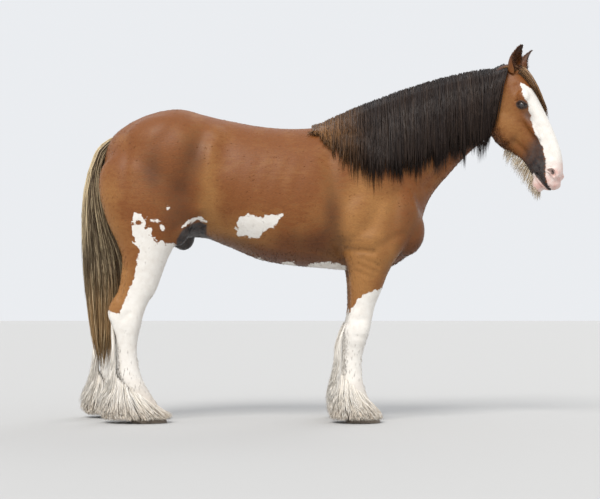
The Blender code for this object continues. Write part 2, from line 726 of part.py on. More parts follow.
def part_flesh(flesh):
    """Cuts the flesh into its named pieces."""
    cuts = [slab(*THROAT_CUT, THROAT_SLAB), slab(*WITHERS_CUT, WITHERS_SLAB)]
    for side in (-1, 1):
        for x, z, tilt in FORE_CUTS:
            cuts.append(slab((x, side * FORE_LEG_Y, z), (tilt, 0, 1), LEG_SLAB))
        for x, z, tilt in HIND_CUTS:
            middle = Vector((x, 0, z))
            cuts.append(slab(middle + hind_place(side)(middle), (tilt, 0, 1), LEG_SLAB))
    cut(flesh, joined("cuts", cuts))
    pieces = {}
    for mesh in sorted(loose_parts(flesh.data), key=volume, reverse=True):
        centre = Vector(vertex_array(mesh).mean(axis=0))
        name = min(FLESH_SPOTS, key=lambda key: (Vector(FLESH_SPOTS[key]) - centre).length)
        if name not in pieces:
            obj = bpy.data.objects.new(name, mesh)
            bpy.context.scene.collection.objects.link(obj)
            pieces[name] = obj
    discard(flesh)
    return pieces


def face_cutter(outline, depth, matrix):
    """A prism with an outline in the head's x and z, from y = 0 to a depth, put in place by a matrix."""
    bm = bmesh.new()
    near = [bm.verts.new((x, 0, z)) for x, z in outline]
    far = [bm.verts.new((x, depth, z)) for x, z in outline]
    bm.faces.new(near)
    bm.faces.new(far[::-1])
    for i in range(len(near)):
        j = (i + 1) % len(near)
        bm.faces.new((near[j], near[i], far[i], far[j]))
    bmesh.ops.transform(bm, matrix=matrix, verts=bm.verts)
    return face_out(bm)


def almond(length, height, points=7):
    """The outline of the opening between the lids."""
    upper = [(t, math.sin(math.pi * (t + 1) / 2) ** 0.8) for t in np.linspace(-1, 1, points)]
    lower = [(-t, -0.75 * h) for t, h in upper[1:-1]]
    return [(t * length / 2, h * height / 2) for t, h in upper + lower]


def side_matrix(side):
    """The head's axes for the left side, 1, or mirrored for the right side, -1."""
    return head_frame() @ Matrix.Diagonal((1, side, 1, 1))


def half_ball(centre, radius, matrix):
    """The outer part of a ball, flat where it faces the middle of the head."""
    bm = ellipsoid(centre, [radius] * 3)
    floor = Vector(centre) - Vector((0, radius * 0.35, 0))
    whole = bm.verts[:] + bm.edges[:] + bm.faces[:]
    bmesh.ops.bisect_plane(bm, geom=whole, plane_co=floor, plane_no=(0, 1, 0), clear_inner=True)
    bmesh.ops.holes_fill(bm, edges=[edge for edge in bm.edges if edge.is_boundary])
    bmesh.ops.transform(bm, matrix=matrix, verts=bm.verts)
    return face_out(bm)


def eye_cutters(side):
    """The socket and the opening between the lids."""
    socket = half_ball(EYE_AT, EYE_RADIUS + GAP, side_matrix(side))
    slant = Matrix.Translation(EYE_AT) @ Matrix.Rotation(EYE_SLANT, 4, "Y")
    opening = face_cutter(almond(*LID_OPENING), 0.06, side_matrix(side) @ slant)
    return [socket, opening]


def nostril_cutter(side):
    """A bent hollow, like a comma."""
    rings = []
    for x, z, y, wide, tall in NOSTRIL_RINGS:
        rings.append([Vector((x + wide * math.cos(a), y, z + tall * math.sin(a)))
                      for a in np.arange(8) * math.tau / 8])
    bm = bmesh.new()
    skin_rings(bm, rings)
    bmesh.ops.transform(bm, matrix=side_matrix(side), verts=bm.verts)
    return face_out(bm)


def mouth_cutter():
    """A thin wedge between the lips, deepest at the front."""
    width = 0.14
    half = MOUTH_OPENING / 2
    (fx, fz), (bx, bz) = MOUTH_LINE
    outline = [(fx + half, fz), (bx + half / 3, bz), (bx, bz + half), (bx - half / 3, bz), (fx - half, fz)]
    return face_cutter(outline, width, head_frame() @ Matrix.Translation((0, -width / 2, 0)))


def carve_head(head):
    """Cuts the eye sockets, nostrils and mouth."""
    for side in (-1, 1):
        for cutter in eye_cutters(side):
            cut(head, mesh_object("cutter", cutter))
        cut(head, mesh_object("cutter", nostril_cutter(side)))
    cut(head, mesh_object("cutter", mouth_cutter()))
    largest_only(head)


def eye(side):
    """An eyeball in its socket."""
    bm = half_ball(EYE_AT, EYE_RADIUS, side_matrix(side))
    return mesh_object(f"eye_{SIDE_NAMES[side]}", bm)


def ear(side):
    """A cupped ear, solid at its root, which the head is cut out of."""
    base, tip = Vector(EAR_BASE), Vector(EAR_TIP)
    axis = (tip - base).normalized()
    opening = (Vector(EAR_OPENS) - axis * axis.dot(Vector(EAR_OPENS))).normalized()
    across = axis.cross(opening)
    rings = []
    for t, half, spread, hollow in EAR_RINGS:
        middle = base.lerp(tip, t) - opening * (0.012 * math.sin(math.pi * t))
        around = [half * (across * math.sin(a) - opening * math.cos(a))
                  for a in np.linspace(-spread, spread, 7)]
        rings.append([middle + v for v in around] + [middle + v * hollow for v in around[::-1]])
    bm = bmesh.new()
    skin_rings(bm, rings)
    bmesh.ops.transform(bm, matrix=side_matrix(side), verts=bm.verts)
    return mesh_object(f"ear_{SIDE_NAMES[side]}", bm)


def leg_place(fore, side):
    """How points of a leg's table are moved to where that leg's foot stands."""
    back = LEFT_HIND_BACK if side > 0 and not fore else 0.0
    shift = Vector((back, side * (FORE_LEG_Y if fore else HIND_LEG_Y), 0))
    return lambda co: shift


def half_space(point, normal, size=1.0):
    """A box that fills one side of a plane."""
    facing = Vector(normal).to_track_quat("Z", "Y").to_matrix().to_4x4()
    bm = bmesh.new()
    shape = Matrix.Translation(point) @ facing @ Matrix.Translation((0, 0, size / 2))
    bmesh.ops.create_cube(bm, size=size, matrix=shape)
    return bm


def hoof(fore, side):
    """A hoof with a flat sole at z = 0, cut off just under the leg's last cut."""
    end = "fore" if fore else "hind"
    place = leg_place(fore, side)
    obj = mesh_object(f"hoof_{end}_{SIDE_NAMES[side]}",
                      loft(FORE_HOOF if fore else HIND_HOOF, 20, 1, side, place))
    x, z, tilt = (FORE_CUTS if fore else HIND_CUTS)[-1]
    normal = Vector((tilt, 0, 1)).normalized()
    point = Vector((x, 0, z)) + place(None) - normal * GAP / 2
    cut(obj, mesh_object("above", half_space(point, normal)))
    triangulate(obj)
    return obj


def surface_tree(obj):
    """Finds where lines meet an object's surface."""
    bm = bmesh.new()
    bm.from_mesh(obj.data)
    tree = BVHTree.FromBMesh(bm)
    bm.free()
    return tree


def right_side(tree, x, z, missing):
    """How far out the right side of the flesh is, as y."""
    hit = tree.ray_cast(Vector((x, -1.0, z)), Vector((0, 1, 0)))[0]
    return hit.y if hit and hit.y < 0.05 else missing


def top_side(tree, x, y):
    """The height of the flesh at a place."""
    return tree.ray_cast(Vector((x, y, 3.0)), Vector((0, 0, -1)))[0].z


def curve_height(points, x):
    """The height of a line through points at a place."""
    xs, zs = zip(*points)
    return float(np.interp(x, xs, zs))


def mane_fall(tree, x, share, lift, steps=7):
    """Points down one fall of the mane: over the crest to the right, then down the neck."""
    crest = top_side(tree, x, 0.0)
    bottom = crest + (curve_height(MANE_ENDS, x) - crest) * share
    points = [Vector((x, 0.030, crest - 0.010 + lift)), Vector((x, -0.020, crest + lift))]
    y = -0.045
    for z in np.linspace(crest - 0.045, bottom, steps):
        y = min(right_side(tree, x, z, y), y + 0.012)
        points.append(Vector((x, y - lift, z)))
    return points


def mane_sheet(tree, share, thick):
    """The core of the mane as one sheet that lies on the neck."""
    rings = []
    for x in np.linspace(MANE_ENDS[0][0] + 0.03, MANE_ENDS[-1][0], 14):
        under = mane_fall(tree, x, share, CORE_SINK, steps=3)
        over = mane_fall(tree, x, share, thick, steps=3)
        over[-1] = over[-1].lerp(under[-1], 0.8)
        rings.append(under + over[::-1])
    bm = bmesh.new()
    skin_rings(bm, rings)
    return face_out(bm)


def head_front(tree, y, z):
    """Where the face is met from in front, in the head's axes."""
    at = head_frame()
    start, toward = at @ Vector((0.5, y, z)), at.to_3x3() @ Vector((-1, 0, 0))
    return at.inverted() @ tree.ray_cast(start, toward)[0]


def forelock_fall(tree, share, length, lift, steps=7):
    """Points down one fall of the forelock, from between the ears down the left of the face."""
    points = []
    for t in np.linspace(0, 1, steps):
        y = FORELOCK_Y[0] + (FORELOCK_Y[1] - FORELOCK_Y[0]) * t + (share - 0.5) * FORELOCK_WIDTH
        point = head_front(tree, y, -0.02 - length * t)
        points.append(head_frame() @ (point + Vector((lift, 0, 0))))
    return points


def forelock_sheet(tree):
    """The core of the forelock as one sheet on the face."""
    rings = []
    for share in np.linspace(0.05, 0.95, 5):
        length = FORELOCK_LENGTH * 0.5 * (0.75 + 0.25 * share)
        under = forelock_fall(tree, share, length, CORE_SINK, steps=5)
        edge = 0.4 if share in (0.05, 0.95) else 1.0
        over = forelock_fall(tree, share, length, FORELOCK_LIFT * edge, steps=5)
        over[-1] = over[-1].lerp(under[-1], 0.8)
        rings.append(under + over[::-1])
    bm = bmesh.new()
    skin_rings(bm, rings)
    return face_out(bm)


def lock(path, outward, wide, thick):
    """A flat, tapered lock along a path, with a low ridge, its root blunt and its tip a point."""
    count = len(path)
    rings = []
    for i, (point, out) in enumerate(zip(path[:-1], outward)):
        along = (path[i + 1] - path[max(i - 1, 0)]).normalized()
        across = along.cross(out).normalized()
        face = across.cross(along)
        t = i / (count - 1)
        half = wide / 2 * min(1.0, 0.60 + 1.4 * t) * (1 - t ** 5) ** 0.8
        deep = thick / 2 * (1 - 0.55 * t)
        rings.append([point + across * half - face * deep, point + face * deep,
                      point - across * half - face * deep])
    bm = bmesh.new()
    verts = [[bm.verts.new(co) for co in ring] for ring in rings]
    tip = bm.verts.new(path[-1])
    for low, high in zip(verts, verts[1:]):
        for j in range(3):
            bm.faces.new((low[j], low[(j + 1) % 3], high[(j + 1) % 3], high[j]))
    for j in range(3):
        bm.faces.new((verts[-1][j], verts[-1][(j + 1) % 3], tip))
    bm.faces.new(verts[0][::-1])
    return face_out(bm)


def merge_flat_faces(obj, angle):
    """Takes out the edges that a union leaves in faces flatter than an angle."""
    bm = bmesh.new()
    bm.from_mesh(obj.data)
    bmesh.ops.dissolve_limit(bm, angle_limit=angle, verts=bm.verts, edges=bm.edges)
    bmesh.ops.triangulate(bm, faces=bm.faces)
    bm.to_mesh(obj.data)
    bm.free()


def grow(name, core, locks, clearances):
    """One closed hair node: a core and its locks, fused at the roots and cut clear of the flesh."""
    body = mesh_object(name, core)
    held = bpy.data.collections.new("locks")
    for bm in locks:
        obj = mesh_object("lock", bm)
        bpy.context.scene.collection.objects.unlink(obj)
        held.objects.link(obj)
    union = body.modifiers.new("Fuse", "BOOLEAN")
    union.operation = "UNION"
    union.operand_type = "COLLECTION"
    union.collection = held
    union.solver = "MANIFOLD"
    apply_modifiers(body)
    for obj in list(held.objects):
        discard(obj)
    bpy.data.collections.remove(held)
    merge_flat_faces(body, FLAT_ANGLE)
    for clearance in clearances:
        cut(body, clearance, keep_cutter=True, solver="MANIFOLD")
    largest_only(body)
    merge_flat_faces(body, FLAT_ANGLE / 10)
    return body


def shrunk(sections, share, keep):
    """The first sections of a table, made smaller about their middles, for a core."""
    made = []
    for s in sections[:keep]:
        front, back = Vector(s.front), Vector(s.back)
        middle = front.lerp(back, s.wide)
        made.append(s._replace(front=tuple(middle.lerp(front, share)), back=tuple(middle.lerp(back, share)),
                               half=s.half * share))
    return made


def flow_path(sections, angle, span, spread, steps):
    """Points down the outside of a table's form, from one share of its length and width to another."""
    rows = smooth_rows([(*s.front, *s.back, s.half, s.y, s.wide, s.square) for s in sections], 4)
    path, outward = [], []
    for k in np.linspace(0, 1, steps):
        at = (span[0] + (span[1] - span[0]) * k) * (len(rows) - 1)
        low = min(int(at), len(rows) - 2)
        row = rows[low] + (rows[low + 1] - rows[low]) * (at - low)
        points = ring_points(row, 36)
        middle = sum(points, Vector()) / 36
        turn = (angle % math.tau) / math.tau * 36
        first = points[int(turn) % 36].lerp(points[(int(turn) + 1) % 36], turn % 1)
        out = first - middle
        path.append(middle + out * (spread[0] + (spread[1] - spread[0]) * k ** 0.8))
        outward.append(out.normalized())
    return path, outward


def flow_locks(sections, rows, spread, size, draw, steps=5):
    """Locks in rows down a form. A row has its start, end, count and how far it reaches round the back."""
    for start, end, count, reach in rows:
        for i in range(count):
            turn = math.pi + reach * (2 * (i + 0.5) / count - 1) + draw.uniform(-0.08, 0.08)
            span = (start + draw.uniform(-0.02, 0.02), min(1.0, end + draw.uniform(-0.05, 0.03)))
            path, outward = flow_path(sections, turn, span, spread, steps)
            sway = draw.uniform(-0.010, 0.010)
            for j, point in enumerate(path):
                side = outward[j].cross(Vector((0, 0, 1)))
                point += side * sway * math.sin(math.pi * j / (steps - 1))
            yield lock(path, outward, size[0] * draw.uniform(0.85, 1.15), size[1])


def placed(pieces, side, shift):
    """Moves pieces from a table's place to a leg, mirrored for the right side."""
    for bm in pieces:
        for vert in bm.verts:
            vert.co = Vector((vert.co.x, vert.co.y * side, vert.co.z)) + shift
        yield face_out(bm)


def feather(fore, side, draw, clearances):
    """The long hair of one lower leg."""
    sections = FORE_FEATHER if fore else HIND_FEATHER
    name = f"feather_{'fore' if fore else 'hind'}_{SIDE_NAMES[side]}"
    core = loft(shrunk(sections, *FEATHER_CORE), 14, 1, side, leg_place(fore, side))
    locks = flow_locks(sections, FEATHER_ROWS, FEATHER_SPREAD, FEATHER_LOCK, draw)
    return grow(name, core, placed(locks, side, leg_place(fore, side)(None)), clearances)


def forelock_locks(tree, draw):
    """Locks down the left of the forehead."""
    for i in range(FORELOCK_COUNT):
        share = (i + 0.5) / FORELOCK_COUNT
        length = FORELOCK_LENGTH * (0.72 + 0.28 * share) * draw.uniform(0.85, 1.0)
        path = forelock_fall(tree, share, length, FORELOCK_LIFT, steps=6)
        out = head_frame().to_3x3() @ Vector((1, 0.3, 0))
        yield lock(path, [out] * 6, FORELOCK_LOCK[0] * draw.uniform(0.9, 1.2), FORELOCK_LOCK[1])


def beard_locks(draw):
    """Locks that hang from under the jaw."""
    at = head_frame()
    for i in range(BEARD_COUNT):
        t = (i + 0.6) / BEARD_COUNT * (len(BEARD) - 1.001)
        low, share = int(t), t % 1
        a, b = BEARD[low], BEARD[low + 1]
        front = Vector(a.front).lerp(Vector(b.front), share)
        back = Vector(a.back).lerp(Vector(b.back), share)
        y = (0.014 if i % 2 else -0.014) + draw.uniform(-0.004, 0.004)
        reach = (back - front) * draw.uniform(0.95, 1.12)
        path = []
        for k in np.linspace(0.38, 1, 5):
            fallen = front + reach * k - Vector((0, BEARD_DROOP * k * k))
            path.append(at @ Vector((fallen.x, y * (1 + 0.3 * k), fallen.y)))
        yield lock(path, [at.to_3x3() @ Vector((0, 1 if i % 2 else -1, 0))] * 5, *BEARD_LOCK)


def mane_locks(tree, draw):
    """Locks down the right of the neck. The upper layer is shorter and covers the lower one's gaps."""
    first, last = MANE_ENDS[0][0] + 0.02, MANE_ENDS[-1][0] - 0.02
    spacing = (last - first) / MANE_COUNT
    for layer, (share, lift) in enumerate(MANE_LAYERS):
        for i in range(MANE_COUNT - layer):
            x = first + spacing * (i + 0.5 + layer / 2 + draw.uniform(-0.1, 0.1))
            full = share * draw.uniform(0.90, 1.04)
            drift = draw.uniform(-0.016, 0.016)
            fall = mane_fall(tree, x, full, lift, steps=8)[::2]
            fall[0] = mane_fall(tree, x, full, MANE_ROOT)[0]
            for j, point in enumerate(fall):
                t = j / (len(fall) - 1)
                point.x += drift * math.sin(math.pi * t) + 0.4 * drift * t
                point.y -= 0.010 * t * (1 - t)
            outs = [Vector((0, -0.25, 0.97))] + [Vector((0, -1, 0.1))] * len(fall)
            yield lock(fall, outs, spacing * MANE_FULLNESS * draw.uniform(0.9, 1.08), MANE_THICK)


def paint(obj):
    """Gives a piece its own material and smooth shading."""
    colour, roughness = next(look for key, look in LOOKS.items() if obj.name.startswith(key))
    material = bpy.data.materials.new(obj.name)
    material.use_nodes = True
    shader = material.node_tree.nodes["Principled BSDF"]
    shader.inputs["Base Color"].default_value = (*colour, 1)
    shader.inputs["Roughness"].default_value = roughness
    obj.data.materials.clear()
    obj.data.materials.append(material)
    obj.data.shade_smooth()
    obj.data.set_sharp_from_angle(angle=math.radians(45))


def settle(objects):
    """Moves everything so that the middle of the whole lies over the origin."""
    corners = np.vstack([vertex_array(obj.data) for obj in objects])
    low, high = corners.min(axis=0), corners.max(axis=0)
    shift = Vector((-(low[0] + high[0]) / 2, -(low[1] + high[1]) / 2, -low[2]))
    for obj in objects:
        obj.data.transform(Matrix.Translation(shift))


def clear_scene():
    """Removes what is in the scene at the start."""
    for obj in list(bpy.data.objects):
        bpy.data.objects.remove(obj)


def main():
    """Models the horse, piece by piece."""
    clear_scene()
    flesh = fuse_flesh()
    simplify(flesh)
    clearance = swollen(flesh, HAIR_GAP)
    thin_clearance = swollen(flesh, GAP)
    tree = surface_tree(flesh)
    pieces = list(part_flesh(flesh).values())
    carve_head(bpy.data.objects["head"])
    for side in (-1, 1):
        made = ear(side)
        cut(made, clearance, keep_cutter=True)
        largest_only(made)
        pieces += [eye(side), made]
    clear_of_ears = [swollen(bpy.data.objects[f"ear_{name}"], NEXT_GAP) for name in SIDE_NAMES.values()]
    draw = random.Random(SEED)
    for fore in (True, False):
        for side in (-1, 1):
            foot = hoof(fore, side)
            around_foot = swollen(foot, NEXT_GAP)
            pieces += [foot, feather(fore, side, draw, [clearance, around_foot])]
            discard(around_foot)
    pieces.append(grow("mane", mane_sheet(tree, *MANE_CORE), mane_locks(tree, draw),
                       [clearance, *clear_of_ears]))
    pieces.append(grow("forelock", forelock_sheet(tree), forelock_locks(tree, draw),
                       [clearance, *clear_of_ears]))
    pieces.append(grow("tail", loft(shrunk(TAIL, *TAIL_CORE), 12, 1),
                       flow_locks(TAIL, TAIL_ROWS, TAIL_SPREAD, TAIL_LOCK, draw, 6), [clearance]))
    core = loft(shrunk(BEARD, *BEARD_CORE), 10, 1, matrix=head_frame())
    pieces.append(grow("beard", core, beard_locks(draw), [clearance, thin_clearance]))
    for cutter in [clearance, thin_clearance, *clear_of_ears]:
        discard(cutter)
    settle(pieces)
    for piece in pieces:
        paint(piece)


main()
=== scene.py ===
"""Looks of a life-size Clydesdale horse: one skin, its short coat, long hair, eyes and hooves.

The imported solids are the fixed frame. The horse faces +X, its left side is +Y, its hooves stand on
z = 0, and lengths are in metres. Everything is built where the tables put the animal, and shifted
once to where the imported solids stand. What varies over skin and coat is worked out for each point
from its place on the animal, so that both carry the same markings.
"""

import logging
import math
from dataclasses import dataclass, field
from enum import Enum
from typing import Callable, NamedTuple

import bmesh
import bpy
import numpy as np
from mathutils import Matrix, Vector
from mathutils.bvhtree import BVHTree


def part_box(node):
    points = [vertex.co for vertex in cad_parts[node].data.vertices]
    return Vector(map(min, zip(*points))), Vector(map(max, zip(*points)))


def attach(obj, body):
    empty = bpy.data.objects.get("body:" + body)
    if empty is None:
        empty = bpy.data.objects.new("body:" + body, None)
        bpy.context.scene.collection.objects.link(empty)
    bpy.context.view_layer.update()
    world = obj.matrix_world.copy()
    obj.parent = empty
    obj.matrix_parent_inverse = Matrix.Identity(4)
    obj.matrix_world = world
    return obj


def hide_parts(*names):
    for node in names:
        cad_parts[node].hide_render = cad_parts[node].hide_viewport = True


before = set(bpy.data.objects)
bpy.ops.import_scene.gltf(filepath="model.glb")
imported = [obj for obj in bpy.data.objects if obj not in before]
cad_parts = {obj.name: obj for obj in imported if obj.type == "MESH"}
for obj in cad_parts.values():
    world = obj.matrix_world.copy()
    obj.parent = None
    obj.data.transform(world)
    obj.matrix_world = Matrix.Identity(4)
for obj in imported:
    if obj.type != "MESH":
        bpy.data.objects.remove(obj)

Array = np.ndarray
Draw = np.random.Generator
Object = bpy.types.Object
Mesh = bpy.types.Mesh
BMesh = bmesh.types.BMesh
Colour = tuple[float, float, float]

# Places that the solids are built on
FORE_LEG_Y = 0.195
HIND_LEG_Y = 0.2
LEFT_HIND_BACK = -0.17
POLL = Vector((1.12, -0.02, 2.1))
HEAD_TURN = math.radians(-30)
HEAD_TILT = math.radians(24)
EYE_RADIUS = 0.024
EYE_AT = (0.024, 0.093, -0.27)
EYE_SLANT = math.radians(42)
LID_OPENING = (0.029, 0.0165, 0.011)      # half long, upper and lower half high
THROAT_POINT = np.array((1.04, 0.0, 1.9))
THROAT_FACING = np.array((0.957, -0.256, -0.13))
HEAD_EDGE = (-0.03, 0.01)                  # over which the neck passes into the head, past the throat
HIND_FROM_X = -0.45                        # what stands behind this is hindquarters
LEG_TOP_Z = 0.93
OUTSIDE = -0.2                             # a distance well outside a marking, in metres
FORE_HOOF_MIDDLE = (0.2405, -0.195, 0.0)   # middle of the right fore sole before the shift


class Side(Enum):
    """A side of the animal, as the sign of y."""

    RIGHT = -1
    LEFT = 1

    @property
    def word(self) -> str:
        """The side's name in lower case."""
        return self.name.lower()


class End(Enum):
    """The fore or hind end of the animal."""

    FORE = "fore"
    HIND = "hind"


class Section(NamedTuple):
    """One cross-section.

    Attributes:
        front: its front or top edge, as (x, z).
        back: its back or bottom edge, as (x, z).
        half: half its width.
        y: how far its middle stands aside.
        wide: where between front and back it is widest, 0 to 1.
        square: its outline, 2 for an ellipse and more for a squarer one.
    """

    front: tuple
    back: tuple
    half: float
    y: float = 0.0
    wide: float = 0.5
    square: float = 2.0


class Swell(NamedTuple):
    """A ball stretched to half-sizes along x, y and z, leaning forward by an angle in degrees."""

    centre: tuple
    halves: tuple
    lean: float


class Touch(NamedTuple):
    """A swelling, or a hollow where rise is below 0, along a short line."""

    start: tuple
    end: tuple
    reach: float
    rise: float


class Fold(NamedTuple):
    """A ridge, or a groove where rise is below 0, along a line on the sides of the body."""

    start: tuple
    end: tuple
    reach: float
    rise: float
    least_y: float


class Spot(NamedTuple):
    """A rounded place on the animal: its centre and half-sizes along x, y and z."""

    centre: tuple
    halves: tuple


def level(*rows: tuple) -> list[Section]:
    """Cross-sections that lie level. Args: rows: front x, back x, z, half width and what else it has."""
    return [Section((row[0], row[2]), (row[1], row[2]), *row[3:]) for row in rows]


def upright(*rows: tuple) -> list[Section]:
    """Cross-sections that stand upright. Args: rows: top z, bottom z, x, half width and what else it has."""
    return [Section((row[2], row[0]), (row[2], row[1]), *row[3:]) for row in rows]


def leaning(*rows: tuple) -> list[Section]:
    """Cross-sections at a slant. Args: rows: front x and z, back x and z, half width and what else it has."""
    return [Section(row[:2], row[2:4], *row[4:]) for row in rows]


TORSO = upright(
    (1.56, 1.34, -1.3, 0.07), (1.68, 1.2, -1.265, 0.17), (1.768, 1.08, -1.17, 0.265, 0, 0.45),
    (1.834, 1.04, -1.02, 0.315, 0, 0.42, 2.2), (1.862, 1.08, -0.85, 0.33, 0, 0.42, 2.2),
    (1.828, 1.085, -0.7, 0.32, 0, 0.46, 2.15), (1.793, 1.03, -0.55, 0.33, 0, 0.52, 2.1),
    (1.76, 0.957, -0.37, 0.347, 0, 0.56, 2.1), (1.745, 0.922, -0.18, 0.347, 0, 0.57, 2.1),
    (1.758, 0.905, 0, 0.33, 0, 0.58), (1.795, 0.892, 0.14, 0.305, 0, 0.6, 1.95),
    (1.79, 0.885, 0.27, 0.285, 0, 0.58, 1.95), (1.7, 0.9, 0.39, 0.262, 0, 0.56),
    (1.57, 0.955, 0.49, 0.225, 0, 0.54), (1.43, 1.02, 0.565, 0.165, 0, 0.52), (1.33, 1.1, 0.6, 0.09))
NECK = leaning(
    (-0.02, 1.755, 0.45, 1.02, 0.215, 0, 0.55), (0.1, 1.812, 0.585, 1.14, 0.215, 0, 0.6),
    (0.26, 1.88, 0.635, 1.28, 0.19, 0, 0.62), (0.44, 1.948, 0.69, 1.375, 0.162, 0, 0.62),
    (0.62, 2.008, 0.765, 1.46, 0.138, 0, 0.6), (0.78, 2.052, 0.855, 1.56, 0.122, 0, 0.55),
    (0.92, 2.08, 0.95, 1.65, 0.112), (1.03, 2.092, 1.04, 1.72, 0.1, -0.01, 0.45),
    (1.1, 2.085, 1.12, 1.8, 0.085, -0.03, 0.45))
FORE_LEG = level(
    (0.5, 0.11, 1.42, 0.06, -0.03), (0.56, 0.075, 1.3, 0.092, -0.018), (0.575, 0.07, 1.18, 0.108, -0.01),
    (0.52, 0.09, 1.06, 0.114, -0.004), (0.445, 0.13, 0.96, 0.106), (0.392, 0.154, 0.87, 0.092),
    (0.352, 0.162, 0.77, 0.08), (0.315, 0.162, 0.68, 0.069), (0.296, 0.152, 0.6, 0.065, 0, 0.5, 2.3),
    (0.282, 0.13, 0.535, 0.069, 0, 0.5, 2.6), (0.264, 0.132, 0.475, 0.064, 0, 0.5, 2.5),
    (0.246, 0.132, 0.42, 0.05, 0, 0.5, 2.2), (0.236, 0.13, 0.36, 0.043), (0.236, 0.126, 0.29, 0.043),
    (0.246, 0.112, 0.22, 0.054, 0, 0.5, 2.2), (0.268, 0.14, 0.155, 0.052),
    (0.296, 0.14, 0.1, 0.07, 0, 0.6), (0.31, 0.14, 0.05, 0.074, 0, 0.6))
HIND_LEG = level(
    (-0.78, -1.18, 1.62, 0.09, -0.03), (-0.735, -1.29, 1.5, 0.13, -0.018),
    (-0.712, -1.31, 1.38, 0.142, -0.008), (-0.715, -1.288, 1.26, 0.14),
    (-0.762, -1.25, 1.15, 0.125, 0.004, 0.45), (-0.842, -1.2, 1.05, 0.105, 0.004, 0.42),
    (-0.893, -1.168, 0.96, 0.09, 0.003, 0.45), (-0.93, -1.172, 0.86, 0.078, 0, 0.45),
    (-0.965, -1.19, 0.765, 0.066, 0, 0.42), (-1.01, -1.232, 0.695, 0.06, 0, 0.38, 2.2),
    (-1.036, -1.248, 0.63, 0.062, 0, 0.38, 2.4), (-1.052, -1.222, 0.56, 0.06, 0, 0.42, 2.4),
    (-1.068, -1.198, 0.49, 0.052, 0, 0.5, 2.2), (-1.074, -1.188, 0.42, 0.045),
    (-1.066, -1.182, 0.34, 0.044), (-1.044, -1.178, 0.26, 0.05),
    (-1.018, -1.15, 0.205, 0.055, 0, 0.5, 2.2), (-0.98, -1.104, 0.145, 0.053),
    (-0.95, -1.1, 0.1, 0.068, 0, 0.6), (-0.938, -1.1, 0.05, 0.072, 0, 0.6))
FORE_HOOF = level(
    (0.338, 0.142, 0, 0.084, 0, 0.55, 2.2), (0.343, 0.138, 0.006, 0.089, 0, 0.55, 2.2),
    (0.318, 0.138, 0.05, 0.08, 0, 0.55, 2.1), (0.286, 0.15, 0.115, 0.066, 0, 0.55))
HIND_HOOF = level(
    (-0.902, -1.108, 0, 0.08, 0, 0.55, 2.2), (-0.897, -1.112, 0.006, 0.085, 0, 0.55, 2.2),
    (-0.925, -1.108, 0.05, 0.077, 0, 0.55, 2.1), (-0.962, -1.092, 0.115, 0.064, 0, 0.55))
FORE_FEATHER = level(
    (0.2, 0.13, 0.585, 0.026), (0.2, 0.1, 0.52, 0.04), (0.2, 0.083, 0.44, 0.05),
    (0.21, 0.08, 0.35, 0.056), (0.228, 0.07, 0.28, 0.066), (0.256, 0.055, 0.22, 0.082),
    (0.284, 0.042, 0.16, 0.1), (0.32, 0.036, 0.1, 0.118), (0.352, 0.042, 0.05, 0.128),
    (0.35, 0.062, 0.012, 0.12))
HIND_FEATHER = level(
    (-1.15, -1.25, 0.6, 0.026), (-1.14, -1.236, 0.52, 0.04), (-1.13, -1.226, 0.44, 0.05),
    (-1.1, -1.232, 0.35, 0.058), (-1.055, -1.246, 0.27, 0.072), (-1.002, -1.265, 0.2, 0.092),
    (-0.952, -1.292, 0.14, 0.11), (-0.898, -1.3, 0.08, 0.124), (-0.872, -1.29, 0.045, 0.128),
    (-0.885, -1.245, 0.012, 0.12))
TAIL = leaning(
    (-1.225, 1.66, -1.215, 1.742, 0.034), (-1.275, 1.615, -1.3, 1.686, 0.044),
    (-1.312, 1.54, -1.362, 1.622, 0.054), (-1.328, 1.42, -1.414, 1.462, 0.064),
    (-1.312, 1.28, -1.434, 1.29, 0.075), (-1.27, 1.12, -1.437, 1.12, 0.085),
    (-1.225, 0.95, -1.43, 0.95, 0.09), (-1.215, 0.78, -1.415, 0.78, 0.085),
    (-1.235, 0.62, -1.39, 0.62, 0.07), (-1.26, 0.5, -1.36, 0.5, 0.048),
    (-1.285, 0.405, -1.32, 0.405, 0.02))
HEAD = level(
    (0.03, -0.06, 0.028, 0.045), (0.066, -0.13, 0, 0.082, 0, 0.45),
    (0.09, -0.18, -0.06, 0.1, 0, 0.45, 2.2), (0.101, -0.205, -0.13, 0.107, 0, 0.42, 2.4),
    (0.105, -0.222, -0.2, 0.11, 0, 0.38, 2.5), (0.104, -0.238, -0.27, 0.104, 0, 0.38, 2.5),
    (0.105, -0.24, -0.34, 0.093, 0, 0.38, 2.5), (0.107, -0.216, -0.41, 0.08, 0, 0.36, 2.4),
    (0.107, -0.172, -0.48, 0.068, 0, 0.36, 2.3), (0.103, -0.136, -0.55, 0.061, 0, 0.38, 2.2),
    (0.093, -0.122, -0.62, 0.059, 0, 0.42, 2.2), (0.074, -0.12, -0.68, 0.062, 0, 0.42, 2.2),
    (0.047, -0.108, -0.735, 0.06, 0, 0.42, 2.2), (0.012, -0.085, -0.772, 0.05, 0, 0.45),
    (-0.012, -0.06, -0.79, 0.03))
BEARD = leaning(
    (-0.18, -0.42, -0.232, -0.44, 0.012), (-0.14, -0.46, -0.238, -0.5, 0.026),
    (-0.11, -0.53, -0.212, -0.58, 0.032), (-0.1, -0.6, -0.188, -0.655, 0.034),
    (-0.1, -0.66, -0.176, -0.72, 0.032), (-0.105, -0.715, -0.165, -0.765, 0.024),
    (-0.11, -0.745, -0.14, -0.775, 0.01))

